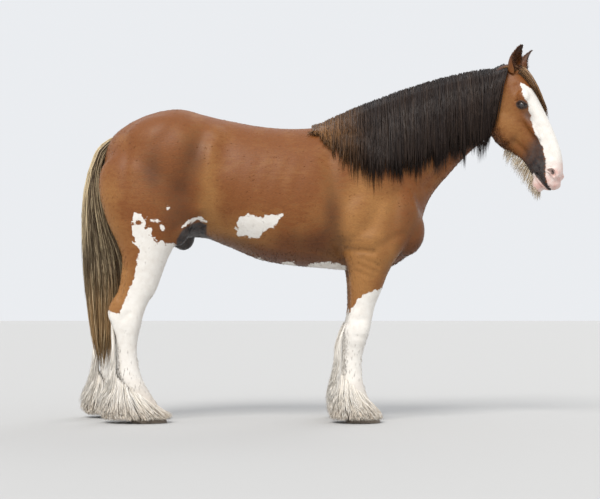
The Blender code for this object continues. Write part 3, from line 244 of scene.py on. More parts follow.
HEAD_TOUCHES = [
    Touch((0.035, 0.085, -0.15), (0.03, 0.092, -0.185), 0.02, -0.011),  # hollow above the eye
    Touch((0.04, 0.105, -0.205), (0.058, 0.095, -0.245), 0.012, 0.005),  # brow
    Touch((0.058, 0.085, -0.3), (0.05, 0.08, -0.345), 0.016, -0.005),  # in front of the eye
    Touch((-0.004, 0.1, -0.33), (0.008, 0.076, -0.45), 0.011, 0.003),  # facial crest
    Touch((-0.026, 0.092, -0.36), (-0.016, 0.07, -0.47), 0.016, -0.003),  # under the crest
    Touch((0.054, 0.066, -0.43), (0.046, 0.056, -0.62), 0.02, -0.006),  # beside the nose bone
    Touch((-0.12, 0.07, -0.44), (-0.09, 0.058, -0.52), 0.02, -0.008),  # in front of the jaw
    Touch((-0.078, 0.05, -0.672), (-0.062, 0.046, -0.77), 0.008, -0.007),  # line of the mouth
    Touch((0.016, 0.064, -0.69), (0.014, 0.066, -0.735), 0.01, -0.008),  # nostril
    Touch((0.032, 0.052, -0.695), (0.03, 0.05, -0.735), 0.009, 0.005),  # its inner rim
    Touch((0.04, 0.0, -0.7), (0.01, 0.0, -0.785), 0.01, -0.004),  # middle of the upper lip
]

MUSCLES = [                       # on both sides
    Swell((0.3, 0.165, 1.46), (0.16, 0.115, 0.32), -30),  # shoulder
    Swell((0.2, 0.215, 1.2), (0.15, 0.105, 0.185), 20),  # upper arm
    Swell((0.48, 0.12, 1.14), (0.135, 0.115, 0.17), -12),  # breast
    Swell((-0.95, 0.15, 1.62), (0.25, 0.165, 0.19), -14),  # croup
    Swell((-0.86, 0.215, 1.13), (0.085, 0.08, 0.11), -20),  # stifle
]

HEAD_SWELLS = [                   # on both sides
    Swell((0.04, 0.08, -0.222), (0.046, 0.036, 0.05), -20),  # brow
    Swell((0.022, 0.084, -0.27), (0.034, 0.034, 0.036), 0),  # round the eye
    Swell((-0.115, 0.07, -0.3), (0.112, 0.036, 0.13), 20),  # cheek
    Swell((0.018, 0.076, -0.4), (0.022, 0.022, 0.11), -8),  # facial crest
    Swell((0.014, 0.043, -0.712), (0.03, 0.026, 0.046), -15),  # nostril
]

LIP_SWELLS = [
    Swell((-0.03, 0, -0.762), (0.05, 0.054, 0.036), 25),
    Swell((-0.112, 0, -0.722), (0.036, 0.044, 0.05), 15),
]

MANE_ENDS = ((-0.03, 1.7), (0.109, 1.6), (0.343, 1.46), (0.461, 1.435), (0.578, 1.465),
             (0.696, 1.505), (0.814, 1.545), (0.873, 1.585), (0.973, 1.6), (1.03, 1.66), (1.075, 1.75))

# Finer forms of the head, alike on both sides, in the head's own axes
FINE_TOUCHES = [
    Touch((0.0, 0.108, -0.232), (0.04, 0.104, -0.232), 0.0045, -0.0035),  # crease over the upper lid
    Touch((0.01, 0.106, -0.3), (0.036, 0.1, -0.303), 0.005, -0.003),  # crease under the lower lid
    Touch((-0.012, 0.104, -0.395), (0.01, 0.088, -0.425), 0.006, -0.003),  # wrinkles at the crest's end
    Touch((-0.02, 0.096, -0.425), (0.002, 0.082, -0.45), 0.006, -0.003),
    Touch((0.004, 0.08, -0.47), (-0.04, 0.074, -0.53), 0.007, 0.0028),  # vein on the cheek
    Touch((-0.04, 0.074, -0.53), (-0.06, 0.068, -0.6), 0.006, 0.0022),
    Touch((-0.085, 0.104, -0.2), (-0.15, 0.098, -0.33), 0.02, 0.004),  # rear of the cheek
    Touch((-0.052, 0.06, -0.64), (-0.066, 0.052, -0.672), 0.008, -0.004),  # corner of the mouth
    Touch((-0.04, 0.06, -0.69), (-0.034, 0.054, -0.76), 0.012, 0.004),  # upper lip
    Touch((-0.092, 0.048, -0.7), (-0.082, 0.044, -0.76), 0.012, 0.004),  # lower lip
    Touch((-0.002, 0.066, -0.68), (0.0, 0.066, -0.74), 0.007, 0.005),  # outer wing of the nostril
]

# Forms of the body, seen from the side as (x, z), alike on both sides. Left hind points are moved
# to where the right leg stands before they are measured.
FOLDS = [
    Fold((0.04, 1.52), (0.118, 0.99), 0.045, -0.009, 0.16),  # behind the upper arm
    Fold((0.15, 1.075), (0.29, 1.055), 0.055, 0.011, 0.16),  # end of the triceps
    Fold((0.14, 1.0), (0.3, 0.985), 0.02, -0.009, 0.16),  # crease over the forearm
    Fold((0.33, 1.02), (0.47, 1.09), 0.026, -0.007, 0.12),
    Fold((0.44, 1.33), (0.4, 1.03), 0.04, -0.01, 0.1),  # between breast and arm
    Fold((0.24, 0.95), (0.33, 0.905), 0.014, -0.004, 0.14),  # creases of the forearm
    Fold((0.21, 0.915), (0.315, 0.87), 0.012, -0.0035, 0.14),
    Fold((0.19, 0.88), (0.29, 0.835), 0.012, -0.003, 0.14),
    Fold((0.3, 1.7), (0.5, 1.3), 0.06, -0.006, 0.06),  # front edge of the shoulder blade
    Fold((0.19, 1.66), (0.3, 1.33), 0.055, 0.006, 0.1),  # spine of the shoulder blade
    Fold((-0.64, 1.6), (-0.69, 1.25), 0.045, 0.01, 0.1),  # ridge of the flank
    Fold((-0.7, 1.65), (-0.8, 1.33), 0.06, -0.011, 0.1),  # hollow in front of the thigh
    Fold((-0.62, 1.69), (-0.6, 1.67), 0.045, 0.01, 0.06),  # point of the hip
    Fold((-0.56, 1.64), (-0.56, 1.5), 0.07, -0.007, 0.06),  # hollow of the loin
    Fold((-0.72, 1.23), (-0.8, 1.11), 0.03, 0.01, 0.06),  # fold of the flank
    Fold((-1.13, 1.64), (-1.14, 1.18), 0.03, -0.005, 0.06),  # between the muscles of the thigh
    Fold((-0.9, 1.78), (-1.08, 1.48), 0.06, 0.005, 0.06),
    Fold((-0.86, 1.15), (-0.84, 1.09), 0.055, 0.008, 0.06),  # stifle
    Fold((-1.142, 0.88), (-1.18, 0.72), 0.014, -0.008, 0.0),  # in front of the hock's tendon
    Fold((-1.12, 0.63), (-1.15, 0.6), 0.02, -0.005, 0.0),
    Fold((-1.15, 0.52), (-1.138, 0.28), 0.012, -0.002, 0.0),  # between tendon and bone
    Fold((0.168, 0.44), (0.168, 0.26), 0.011, -0.002, 0.0),
    Fold((0.196, 0.59), (0.25, 0.6), 0.014, -0.003, 0.0),  # knee
    Fold((0.19, 0.5), (0.25, 0.49), 0.014, -0.003, 0.0),
    Fold((0.262, 0.545), (0.262, 0.52), 0.025, 0.004, 0.0),
    Fold((0.92, 1.76), (0.62, 1.38), 0.03, -0.009, 0.03),  # groove of the neck
    Fold((0.88, 1.93), (0.42, 1.64), 0.08, 0.006, 0.03),
    *[Fold((-0.1 - 0.085 * rib, 1.52), (-0.23 - 0.085 * rib, 1.1), 0.03, -0.0012, 0.2)
      for rib in range(5)],
    *[Fold((0.1 + 0.02 * crease, 0.975 - 0.022 * crease), (0.06 + 0.02 * crease, 1.05), 0.009, -0.003, 0.14)
      for crease in range(2)],
]

# Markings seen from the side, as (x, z)
HIND_WHITE = [(-1.083, 1.209), (-1.031, 1.199), (-1.01, 1.15), (-0.99, 1.1), (-0.961, 1.052),
              (-0.9, 1.04), (-0.857, 1.032), (-0.6, 1.0), (-0.6, -0.1), (-1.7, -0.1),
              (-1.7, 0.6), (-1.245, 0.652), (-1.215, 0.64), (-1.172, 0.632), (-1.127, 0.739),
              (-1.085, 0.844), (-1.066, 0.93), (-1.056, 1.0), (-1.098, 1.081)]
FORE_WHITE = [(0.6, 0.83), (0.34, 0.776), (0.267, 0.752), (0.205, 0.711), (0.165, 0.64), (0.129, 0.594),
              (0.0, 0.57), (0.0, -0.1), (0.6, -0.1)]
BELLY_PATCH = [(-0.479, 1.19), (-0.411, 1.209), (-0.365, 1.18), (-0.286, 1.197), (-0.223, 1.203),
               (-0.268, 1.135), (-0.342, 1.105), (-0.365, 1.066), (-0.439, 1.083), (-0.496, 1.089),
               (-0.491, 1.152)]
# How far forward of the head's middle the blaze starts, at places down the face
BLAZE_EDGE = ((0.1, 0.14), (0.135, 0.066), (0.216, 0.06), (0.294, 0.052), (0.38, 0.032), (0.473, 0.02),
              (0.546, 0.024), (0.64, -0.001), (0.704, -0.03), (0.76, -0.045))

WHITE_SPOTS = [
    Spot((0.03, 0.0, 0.9), (0.12, 0.24, 0.045)), Spot((-0.2, 0.02, 0.9), (0.06, 0.23, 0.045)),
    Spot((-0.4, -0.03, 0.925), (0.07, 0.16, 0.04)), Spot((-0.88, -0.3, 1.24), (0.01, 0.1, 0.01)),
    Spot((-0.965, -0.3, 1.165), (0.026, 0.1, 0.011)), Spot((-0.915, -0.3, 1.13), (0.012, 0.1, 0.018)),
]
BROWN_SPOTS = [
    Spot((-1.058, -0.28, 1.155), (0.019, 0.2, 0.014)), Spot((-1.015, -0.28, 1.125), (0.012, 0.2, 0.01)),
]
FLANK_EDGE = [(-0.805, 1.135), (-0.765, 1.168), (-0.718, 1.188), (-0.675, 1.168)]
# Painted shade, near black, in front of the thigh where belly and hind leg meet
FLANK_SHADE = [(-0.862, 0.985), (-0.842, 1.06), (-0.805, 1.12), (-0.755, 1.158), (-0.712, 1.172),
               (-0.668, 1.155), (-0.68, 1.08), (-0.7, 1.04), (-0.77, 0.96)]
# The black sheath, its spot widened to paint shade over the flank beside it
SHEATH_AND_SHADE = Spot((-0.8, 0.0, 1.03), (0.19, 0.225, 0.165))
GOLDEN_SPOTS = [
    Spot((0.25, 0.25, 1.18), (0.22, 0.25, 0.26)), Spot((0.25, 0.2, 0.83), (0.15, 0.2, 0.26)),
    Spot((-0.65, 0.3, 1.3), (0.06, 0.3, 0.33)), Spot((-1.27, 0.2, 1.15), (0.09, 0.3, 0.3)),
    Spot((-1.18, 0.2, 0.8), (0.11, 0.2, 0.26)), Spot((0.43, 0.15, 1.62), (0.22, 0.25, 0.1)),
    Spot((-0.5, 0.3, 1.08), (0.22, 0.3, 0.1)),
]
# Painted shade in the body's hollows: behind the arm and elbow, between breast and arm, in front of the thigh
# and at the hip
PAINTED_SHADE_SPOTS = [
    Spot((-0.745, 0.25, 1.56), (0.07, 0.3, 0.12)), Spot((-0.83, 0.25, 1.36), (0.09, 0.3, 0.13)),
    Spot((-0.83, 0.28, 1.16), (0.11, 0.25, 0.1)), Spot((0.06, 0.3, 1.15), (0.06, 0.3, 0.28)),
    Spot((-0.05, 0.3, 1.03), (0.24, 0.3, 0.08)), Spot((0.5, 0.1, 1.15), (0.12, 0.22, 0.16)),
    Spot((-0.98, 0.3, 1.46), (0.06, 0.3, 0.12)),
]


def head_frame() -> Matrix:
    """The matrix that takes the head's own axes to the animal's."""
    turn = Matrix.Rotation(HEAD_TURN, 4, "Z")
    tilt = Matrix.Rotation(-HEAD_TILT, 4, "Y")
    return Matrix.Translation(POLL) @ turn @ tilt


def side_matrix(side: Side) -> Matrix:
    """The head's axes, mirrored for the right side."""
    return head_frame() @ Matrix.Diagonal((1, side.value, 1, 1))


def moved(points: Array, matrix: Matrix) -> Array:
    """Points through a matrix, in the shape they come in."""
    full = np.array(matrix)
    return (points.reshape(-1, 3) @ full[:3, :3].T + full[:3, 3]).reshape(points.shape)


def in_head(points: Array) -> Array:
    """Points of the animal in the head's own axes."""
    return moved(points, head_frame().inverted())


def way_of(matrix: Matrix, x: float, y: float, z: float) -> Array:
    """A direction through a matrix."""
    return np.array(matrix.to_3x3() @ Vector((x, y, z)))


def past_throat(points: Array) -> Array:
    """How far each point stands past the throat, toward the head."""
    return (points - THROAT_POINT) @ THROAT_FACING


def bell(*offsets: Array) -> Array:
    """A soft hill, 1 where all offsets are 0."""
    return np.exp(-sum(offset ** 2 for offset in offsets))


def unit(rows: Array) -> Array:
    """Rows of vectors, each made one long."""
    return rows / np.maximum(np.linalg.norm(rows, axis=-1, keepdims=True), 1e-9)


def ramp(value: Array, low: float, high: float) -> Array:
    """A soft step from 0 at low to 1 at high."""
    share = np.clip((value - low) / (high - low), 0, 1)
    return share * share * (3 - 2 * share)


def step_back(z: Array) -> Array:
    """How far a point of the left hind leg stands back, by its height."""
    return LEFT_HIND_BACK * ramp(1.3 - z, 0.0, 0.6)


def home(points: Array) -> Array:
    """Points as seen from the side: y made positive, and the left hind leg moved to the right one."""
    made = points.copy()
    left_hind = (points[:, 1] > 0) & (points[:, 0] < HIND_FROM_X)
    made[left_hind, 0] -= step_back(points[left_hind, 2])
    made[:, 1] = np.abs(made[:, 1])
    return made


def line_distance(points: Array, start: tuple, end: tuple) -> Array:
    """How far each point lies from a short line, in as many dimensions as the points have."""
    a, b = np.array(start, float), np.array(end, float)
    along = np.clip((points - a) @ (b - a) / max((b - a) @ (b - a), 1e-12), 0, 1)
    return np.linalg.norm(points - a - along[:, None] * (b - a), axis=1)


def inside_by(points: Array, outline: list[tuple]) -> Array:
    """How far inside an outline each (x, z) point lies, below 0 outside it."""
    near = np.full(len(points), 1e9)
    inside = np.zeros(len(points), bool)
    for a, b in zip(outline, outline[1:] + outline[:1]):
        near = np.minimum(near, line_distance(points, a, b))
        crosses = (a[1] > points[:, 1]) != (b[1] > points[:, 1])
        if a[1] != b[1]:
            at = a[0] + (points[:, 1] - a[1]) / (b[1] - a[1]) * (b[0] - a[0])
            inside ^= crosses & (points[:, 0] < at)
    return np.where(inside, near, -near)


def inside_spot(points: Array, spot: Spot) -> Array:
    """About how far inside a rounded place each point lies."""
    away = np.linalg.norm((points - np.array(spot.centre)) / np.array(spot.halves), axis=1)
    return (1 - away) * min(spot.halves)


def glow(points: Array, spots: list[Spot]) -> Array:
    """A soft 0 to 1 share of each point in rounded places, alike on both sides."""
    total = np.zeros(len(points))
    for spot in spots:
        away = (points - np.array(spot.centre)) / np.array(spot.halves)
        total += np.exp(-(away ** 2).sum(axis=1))
    return np.clip(total, 0, 1)


class Ripple:
    """A smooth wavering value over space, the sum of a few seeded waves."""

    def __init__(self, seed: int, size: float, waves: int = 14) -> None:
        """Draws the waves. Args: seed: of the draw. size: about how long a wave is. waves: how many."""
        draw = np.random.default_rng(seed)
        ways = unit(draw.normal(size=(waves, 3))) * (math.tau / size)
        self.ways = ways * draw.uniform(0.6, 1.6, (waves, 1))
        self.starts = draw.uniform(0, math.tau, waves)

    def at(self, points: Array) -> Array:
        """The value at each point, about -1 to 1."""
        return np.sin(points @ self.ways.T + self.starts).mean(axis=1) * 2.2


class Face(NamedTuple):
    """Places on the face.

    Attributes:
        down: how far down from the poll.
        forward: how far forward of the head's middle line.
        aside: how far out from its middle plane.
        on_head: 0 to 1, whether the point is on the head at all.
    """

    down: Array
    forward: Array
    aside: Array
    on_head: Array

    def choose(self, head: Array, body: Array) -> Array:
        """The head's values on the head, the body's elsewhere."""
        return np.where(self.on_head > 0.5, head, body)

    def beside(self, down: float, long: float, forward: float, high: float) -> Array:
        """A soft patch on the sides of the head: its middle and half-sizes down the face and forward."""
        return bell((self.down - down) / long, (self.forward - forward) / high)


@dataclass
class Markings:
    """Where the animal is white, dark or pink, how its bay varies, and where shade is painted on it.

    Lengths are in metres, down the face from the poll or out from the middle. The muzzle and the ring
    round the eye are each given by where they set in and where they are full.
    """

    broad: "Ripple" = field(default_factory=lambda: Ripple(3, 0.05))
    fine: "Ripple" = field(default_factory=lambda: Ripple(4, 0.018))
    spine_y: float = 0.17
    blaze_top: float = 0.132
    chin_from: float = 0.655
    muzzle: tuple = (0.44, 0.53)
    ring: tuple = (-0.032, -0.02)

    def face(self, points: Array) -> Face:
        """Where points are on the face."""
        local = in_head(points)
        on_head = ramp(past_throat(points), *HEAD_EDGE)
        return Face(-local[:, 2], local[:, 0], np.abs(local[:, 1]), on_head)

    def white(self, points: Array) -> Array:
        """How far inside white hair each point lies, in metres."""
        at = home(points)
        x, y, z = at.T
        side_view = at[:, [0, 2]]
        edge = self.broad.at(points) * 0.01 + self.fine.at(points) * 0.005
        hind = np.where(x < -0.6, inside_by(side_view, HIND_WHITE), OUTSIDE)
        thigh = ramp(z, 0.98, 1.06)
        hind = hind - 0.25 * thigh * (y < self.spine_y) + edge * (0.4 + 1.2 * ramp(z, 0.9, 1.05))
        right_only = np.where(points[:, 1:2] < 0, points, 9.0)
        for spot in BROWN_SPOTS:
            hind = np.minimum(hind, -inside_spot(right_only, spot))
        fore = np.where((x > -0.1) & (y > 0.05), inside_by(side_view, FORE_WHITE), OUTSIDE) + 0.6 * edge
        patch = np.where(points[:, 1] < -0.15, inside_by(side_view, BELLY_PATCH), OUTSIDE) + 0.9 * edge
        line = np.min([line_distance(side_view, *ends) for ends in zip(FLANK_EDGE, FLANK_EDGE[1:])], axis=0)
        flank = np.where((y > 0.1) & (y < 0.34), 0.008 - line, OUTSIDE) + 0.5 * edge
        total = np.maximum.reduce([hind, fore, patch, flank])
        for spot in WHITE_SPOTS:
            total = np.maximum(total, inside_spot(points, spot) + 0.6 * edge)
        face = self.face(points)
        blaze = face.forward - np.interp(face.down, *zip(*BLAZE_EDGE)) + 0.4 * edge
        top = face.down - self.blaze_top - 1.7 * (face.forward - 0.066).clip(0, 0.05) + 0.3 * edge
        return face.choose(np.maximum(np.minimum(blaze, top), self.chin(face) + 0.3 * edge), total)

    def chin(self, face: Face) -> Array:
        """How far inside the pink and white chin each point of the head lies."""
        edge = -0.094 - face.forward + 0.25 * np.clip(face.down - 0.66, 0, 1)
        return np.minimum(face.down - self.chin_from, edge)

    def dark_face(self, points: Array, face: Face) -> Array:
        """0 to 1 where the head is black or dark grey, with painted shade at the back edge of the jaw.

        Args:
            points: on the animal.
            face: the same points on the face.

        Returns:
            The share at each point.
        """
        down, forward, aside, _ = face
        edge = self.fine.at(points) * 0.008
        below_blaze = ramp(np.interp(down, *zip(*BLAZE_EDGE)) - forward + edge, 0.0, 0.006)
        muzzle = ramp(down + 0.5 * forward + edge, *self.muzzle) * (0.8 + 0.2 * ramp(down, 0.56, 0.64))
        muzzle = muzzle * below_blaze * (1 - ramp(self.chin(face), -0.004, 0.004))
        u, v = turned(forward - EYE_AT[0], -down - EYE_AT[2], EYE_SLANT)
        ring = ramp(-np.sqrt(u ** 2 * 0.55 + v ** 2), *self.ring) * (aside > 0.05)
        under_eye = 0.6 * face.beside(0.345, 0.045, 0.03, 0.026) * (aside > 0.04)
        # Painted shade at the back edge of the jaw, where head meets neck
        jaw = 0.5 * ramp(-forward, 0.14, 0.22) * ramp(down, 0.1, 0.3)
        nostril = ramp(-np.hypot((forward - 0.01) / 0.011, (down - 0.706) / 0.022), -1.0, -0.45)
        return np.maximum.reduce([muzzle, 0.9 * ring, under_eye, jaw, nostril * (aside > 0.02) * 0.85])

    def dark(self, points: Array) -> Array:
        """0 to 1 where skin and hair are black or dark grey, and where shade is painted in front of and
        between the thighs.
        """
        face = self.face(points)
        at = home(points)
        x, y, z = at.T
        # Painted shade in front of the thigh
        shade = ramp(inside_by(at[:, [0, 2]], FLANK_SHADE), -0.004, 0.01) * (y < 0.34)
        sheath_and_shade = np.maximum(ramp(inside_spot(at, SHEATH_AND_SHADE), 0.0, 0.045), shade)
        # Painted shade on the inside of the thighs
        inner = ramp(-y, -0.16, -0.05) * ramp(-x, 0.7, 0.8) * ramp(z, 0.95, 1.03) * ramp(-z, -1.4, -1.2)
        dock = ramp(-x, 1.27, 1.31) * ramp(-y, -0.07, -0.02) * 0.8
        body = np.maximum(np.maximum(sheath_and_shade, 0.8 * inner), dock)
        return face.choose(self.dark_face(points, face), body)

    def pink(self, points: Array) -> Array:
        """0 to 1 where pink skin shows through white hair."""
        face = self.face(points)
        return ramp(face.down + 0.3 * self.fine.at(points) * 0.02, 0.62, 0.74) * face.on_head

    def golden(self, points: Array) -> Array:
        """0 to 1 from red bay to golden brown."""
        face = self.face(points)
        cheek = 0.65 * face.beside(0.3, 0.16, -0.09, 0.08) * (face.aside > 0.03)
        body = glow(home(points), GOLDEN_SPOTS) + 0.22 * self.broad.at(points * 0.25)
        return np.clip(face.choose(cheek, body), 0, 1)

    def deep(self, points: Array) -> Array:
        """0 to 1 where the bay is darker: at the poll and down the face, and as painted shade in the body's
        hollows, under the belly and under the mane.
        """
        face = self.face(points)
        head = 0.95 * ramp(-face.down, -0.1, -0.03) + 0.3 * ramp(face.down, 0.4, 0.55)
        at = home(points)
        x, y, z = at.T
        # Painted shade under the belly
        under = ramp(-y, -0.3, -0.16) * ramp(-z, -1.14, -1.04) * (z > 0.86) * (x > -0.9)
        body = np.maximum(glow(at, PAINTED_SHADE_SPOTS), under)
        # Painted shadow of the mane on the neck
        painted_mane_shadow = 0.45 * ramp(points[:, 0], 0.35, 0.6) * ramp(points[:, 2], 1.5, 1.7)
        return np.clip(face.choose(head, np.maximum(0.62 * body, painted_mane_shadow)), 0, 1)


def lie_of(points: Array, out: Array) -> Array:
    """The way that the short hair lies at each point, along the skin."""
    at = home(points)
    body = np.array((-0.92, 0.0, -0.38))
    down_leg = np.array((-0.1, 0.0, -1.0))
    neck = np.array((-0.6, 0.0, -0.8))
    on_leg = np.maximum(ramp(-at[:, 2], -1.15, -0.95), ramp(-at[:, 0], 1.0, 1.25))
    on_neck = ramp(at[:, 0], 0.35, 0.6) * ramp(at[:, 2], 1.2, 1.4)
    on_head = ramp(past_throat(points), -0.03, 0.03)
    head = way_of(head_frame(), -0.25, 0.0, -1.0)
    way = body + on_neck[:, None] * (neck - body)
    way = way + on_leg[:, None] * (down_leg - way)
    way = way + on_head[:, None] * (head - way)
    way = way - (way * out).sum(axis=1, keepdims=True) * out
    return unit(way)


def new_object(name: str, mesh: Mesh) -> Object:
    """An object in the scene that holds a mesh."""
    obj = bpy.data.objects.new(name, mesh)
    bpy.context.scene.collection.objects.link(obj)
    return obj


def closed_object(name: str, bm: BMesh) -> Object:
    """An object from closed bmesh surfaces, their faces turned outward. The bmesh is freed."""
    bmesh.ops.recalc_face_normals(bm, faces=bm.faces)
    if bm.calc_volume(signed=True) < 0:
        bmesh.ops.reverse_faces(bm, faces=bm.faces)
    mesh = bpy.data.meshes.new(name)
    bm.to_mesh(mesh)
    bm.free()
    return new_object(name, mesh)


def vertex_array(mesh: Mesh) -> Array:
    """A mesh's vertices as rows of x, y and z."""
    co = np.empty(len(mesh.vertices) * 3)
    mesh.vertices.foreach_get("co", co)
    return co.reshape(-1, 3)


def normal_array(mesh: Mesh) -> Array:
    """The directions in which a mesh's vertices face."""
    out = np.empty(len(mesh.vertices) * 3)
    mesh.vertex_normals.foreach_get("vector", out)
    return out.reshape(-1, 3)


def set_vertices(mesh: Mesh, co: Array) -> None:
    """Moves a mesh's vertices."""
    mesh.vertices.foreach_set("co", co.ravel())
    mesh.update()


def keep_values(mesh: Mesh, name: str, rows: Array) -> None:
    """Stores three numbers for each vertex, for a material to read."""
    layer = mesh.attributes.new(name, "FLOAT_VECTOR", "POINT")
    layer.data.foreach_set("vector", np.ascontiguousarray(rows, np.float32).ravel())


def apply_modifiers(obj: Object) -> None:
    """Puts what the modifiers make into the object's own mesh."""
    bpy.context.view_layer.update()
    graph = bpy.context.evaluated_depsgraph_get()
    made = bpy.data.meshes.new_from_object(obj.evaluated_get(graph))
    obj.modifiers.clear()
    old, obj.data = obj.data, made
    bpy.data.meshes.remove(old)


@dataclass(frozen=True)
class Form:
    """A closed shape through cross-sections.

    Attributes:
        sections: the table, from one end to the other.
    """

    sections: list[Section]

    def rows(self, steps: int) -> Array:
        """The sections as rows of numbers, with more between them on a Catmull-Rom curve."""
        rows = np.array([(*s.front, *s.back, s.half, s.y, s.wide, s.square) for s in self.sections], float)
        ends = np.vstack([2 * rows[0] - rows[1], rows, 2 * rows[-1] - rows[-2]])
        made = []
        for i in range(len(rows) - 1):
            a, b, c, d = ends[i:i + 4]
            for t in np.arange(steps) / steps:
                made.append(0.5 * (2 * b + (c - a) * t + (2 * a - 5 * b + 4 * c - d) * t ** 2
                                   + (3 * b - a - 3 * c + d) * t ** 3))
        made.append(rows[-1])
        return np.array(made)

    def at(self, share: Array, angle: Array, spread: Array | float = 1.0) -> Array:
        """Points on or inside the form.

        Args:
            share: how far along the form, 0 to 1.
            angle: how far round it from the front edge.
            spread: how far out from its middle, 1 at its surface.

        Returns:
            The points, with the same leading shape as share.
        """
        share, angle, spread = np.broadcast_arrays(share, angle, np.asarray(spread, float))
        rows = self.rows(8)
        place = np.clip(share, 0, 1) * (len(rows) - 1)
        low = np.minimum(place.astype(int), len(rows) - 2)
        row = rows[low] + (rows[low + 1] - rows[low]) * (place - low)[..., None]
        fx, fz, bx, bz, half, y, wide, square = np.moveaxis(row, -1, 0)
        front, back = np.stack([fx, y, fz], -1), np.stack([bx, y, bz], -1)
        middle = front + (back - front) * wide[..., None]
        along = np.sign(np.cos(angle)) * np.abs(np.cos(angle)) ** (2 / square)
        across = np.sign(np.sin(angle)) * np.abs(np.sin(angle)) ** (2 / square) * half
        edge = np.where((along > 0)[..., None], front, back)
        arm = (edge - middle) * np.abs(along)[..., None]
        arm[..., 1] += across
        return middle + arm * spread[..., None]

    def loft(self, sides: int, steps: int, side: Side = Side.LEFT, shift: Callable | None = None,
             matrix: Matrix | None = None) -> BMesh:
        """A closed mesh on the form.

        Args:
            sides: points round each ring.
            steps: rings for each section.
            side: RIGHT mirrors it.
            shift: gives how far each row of points is moved.
            matrix: applied last.

        Returns:
            The mesh.
        """
        count = (len(self.sections) - 1) * steps + 1
        share = np.repeat(np.linspace(0, 1, count), sides)
        angle = np.tile(np.arange(sides) * math.tau / sides, count)
        points = self.at(share, angle)
        points[:, 1] *= side.value
        if shift:
            points = points + shift(points)
        if matrix is not None:
            points = moved(points, matrix)
        return ring_mesh(points.reshape(count, sides, 3))


def ring_mesh(rings: Array, closed: bool = False) -> BMesh:
    """A closed mesh that joins rings of points, each to the next.

    Args:
        rings: the points, as ring, point, xyz.
        closed: whether the last ring joins the first. Otherwise both are capped.

    Returns:
        The mesh.
    """
    bm = bmesh.new()
    verts = [[bm.verts.new(p) for p in ring] for ring in rings]
    for low, high in zip(verts, verts[1:] + verts[:closed]):
        for i in range(len(low)):
            j = (i + 1) % len(low)
            bm.faces.new((low[i], low[j], high[j], high[i]))
    if not closed:
        bm.faces.new(verts[0][::-1])
        bm.faces.new(verts[-1])
    return bm


def swells(table: list[Swell], side: Side, matrix: Matrix = Matrix()) -> list[BMesh]:
    """The balls of a table, on one side."""
    made = []
    for centre, halves, lean in table:
        bm = bmesh.new()
        at = Matrix.Translation((centre[0], side.value * centre[1], centre[2]))
        shape = at @ Matrix.Rotation(math.radians(lean), 4, "Y") @ Matrix.Diagonal((*halves, 1))
        bmesh.ops.create_icosphere(bm, subdivisions=3, radius=1, matrix=matrix @ shape)
        made.append(bm)
    return made


def leg_shift(end: End, side: Side) -> Callable:
    """Gives how far points of a leg are moved from their table to where the leg stands."""
    def shift(points: Array) -> Array:
        """How far each point moves."""
        made = np.zeros(points.shape)
        made[..., 1] = side.value * (FORE_LEG_Y if end is End.FORE else HIND_LEG_Y)
        if end is End.HIND and side is Side.LEFT:
            made[..., 0] = step_back(points[..., 2])
        return made
    return shift


class Surface:
    """Finds where lines meet the skin."""

    def __init__(self, obj: Object) -> None:
        """Args: obj: the skin."""
        mesh = obj.data
        mesh.calc_loop_triangles()
        faces = np.empty(len(mesh.loop_triangles) * 3, int)
        mesh.loop_triangles.foreach_get("vertices", faces)
        self.co = vertex_array(mesh)
        self.out = normal_array(mesh)
        self.faces = faces.reshape(-1, 3)
        self.tree = BVHTree.FromPolygons(self.co.tolist(), self.faces.tolist())

    def meets(self, starts: Array, way: tuple, missing: float = np.nan) -> Array:
        """Where lines from each start first meet the skin, or rows of missing."""
        made = np.full(starts.shape, missing)
        flat, rows = made.reshape(-1, 3), starts.reshape(-1, 3)
        for i, start in enumerate(rows):
            hit = self.tree.ray_cast(Vector(start), Vector(way))[0]
            if hit:
                flat[i] = hit
        return made

    def scatter(self, count: int, weight: Callable, seed: int) -> tuple[Array, Array]:
        """Random points on the skin.

        Args:
            count: how many.
            weight: gives how thickly they lie at points with their facings.
            seed: of the draw.

        Returns:
            The points and the directions in which the skin faces there.
        """
        draw = np.random.default_rng(seed)
        a, b, c = (self.co[self.faces[:, i]] for i in range(3))
        cross = np.cross(b - a, c - a)
        area = np.linalg.norm(cross, axis=1) / 2
        share = area * weight((a + b + c) / 3, unit(cross))
        picked = draw.choice(len(area), count, p=share / share.sum())
        u, v = draw.random((2, count))
        over = u + v > 1
        u[over], v[over] = 1 - u[over], 1 - v[over]
        u, v = u[:, None], v[:, None]
        i, j, k = self.faces[picked].T
        points, out = (rows[i] * (1 - u - v) + rows[j] * u + rows[k] * v for rows in (self.co, self.out))
        return points, unit(out)


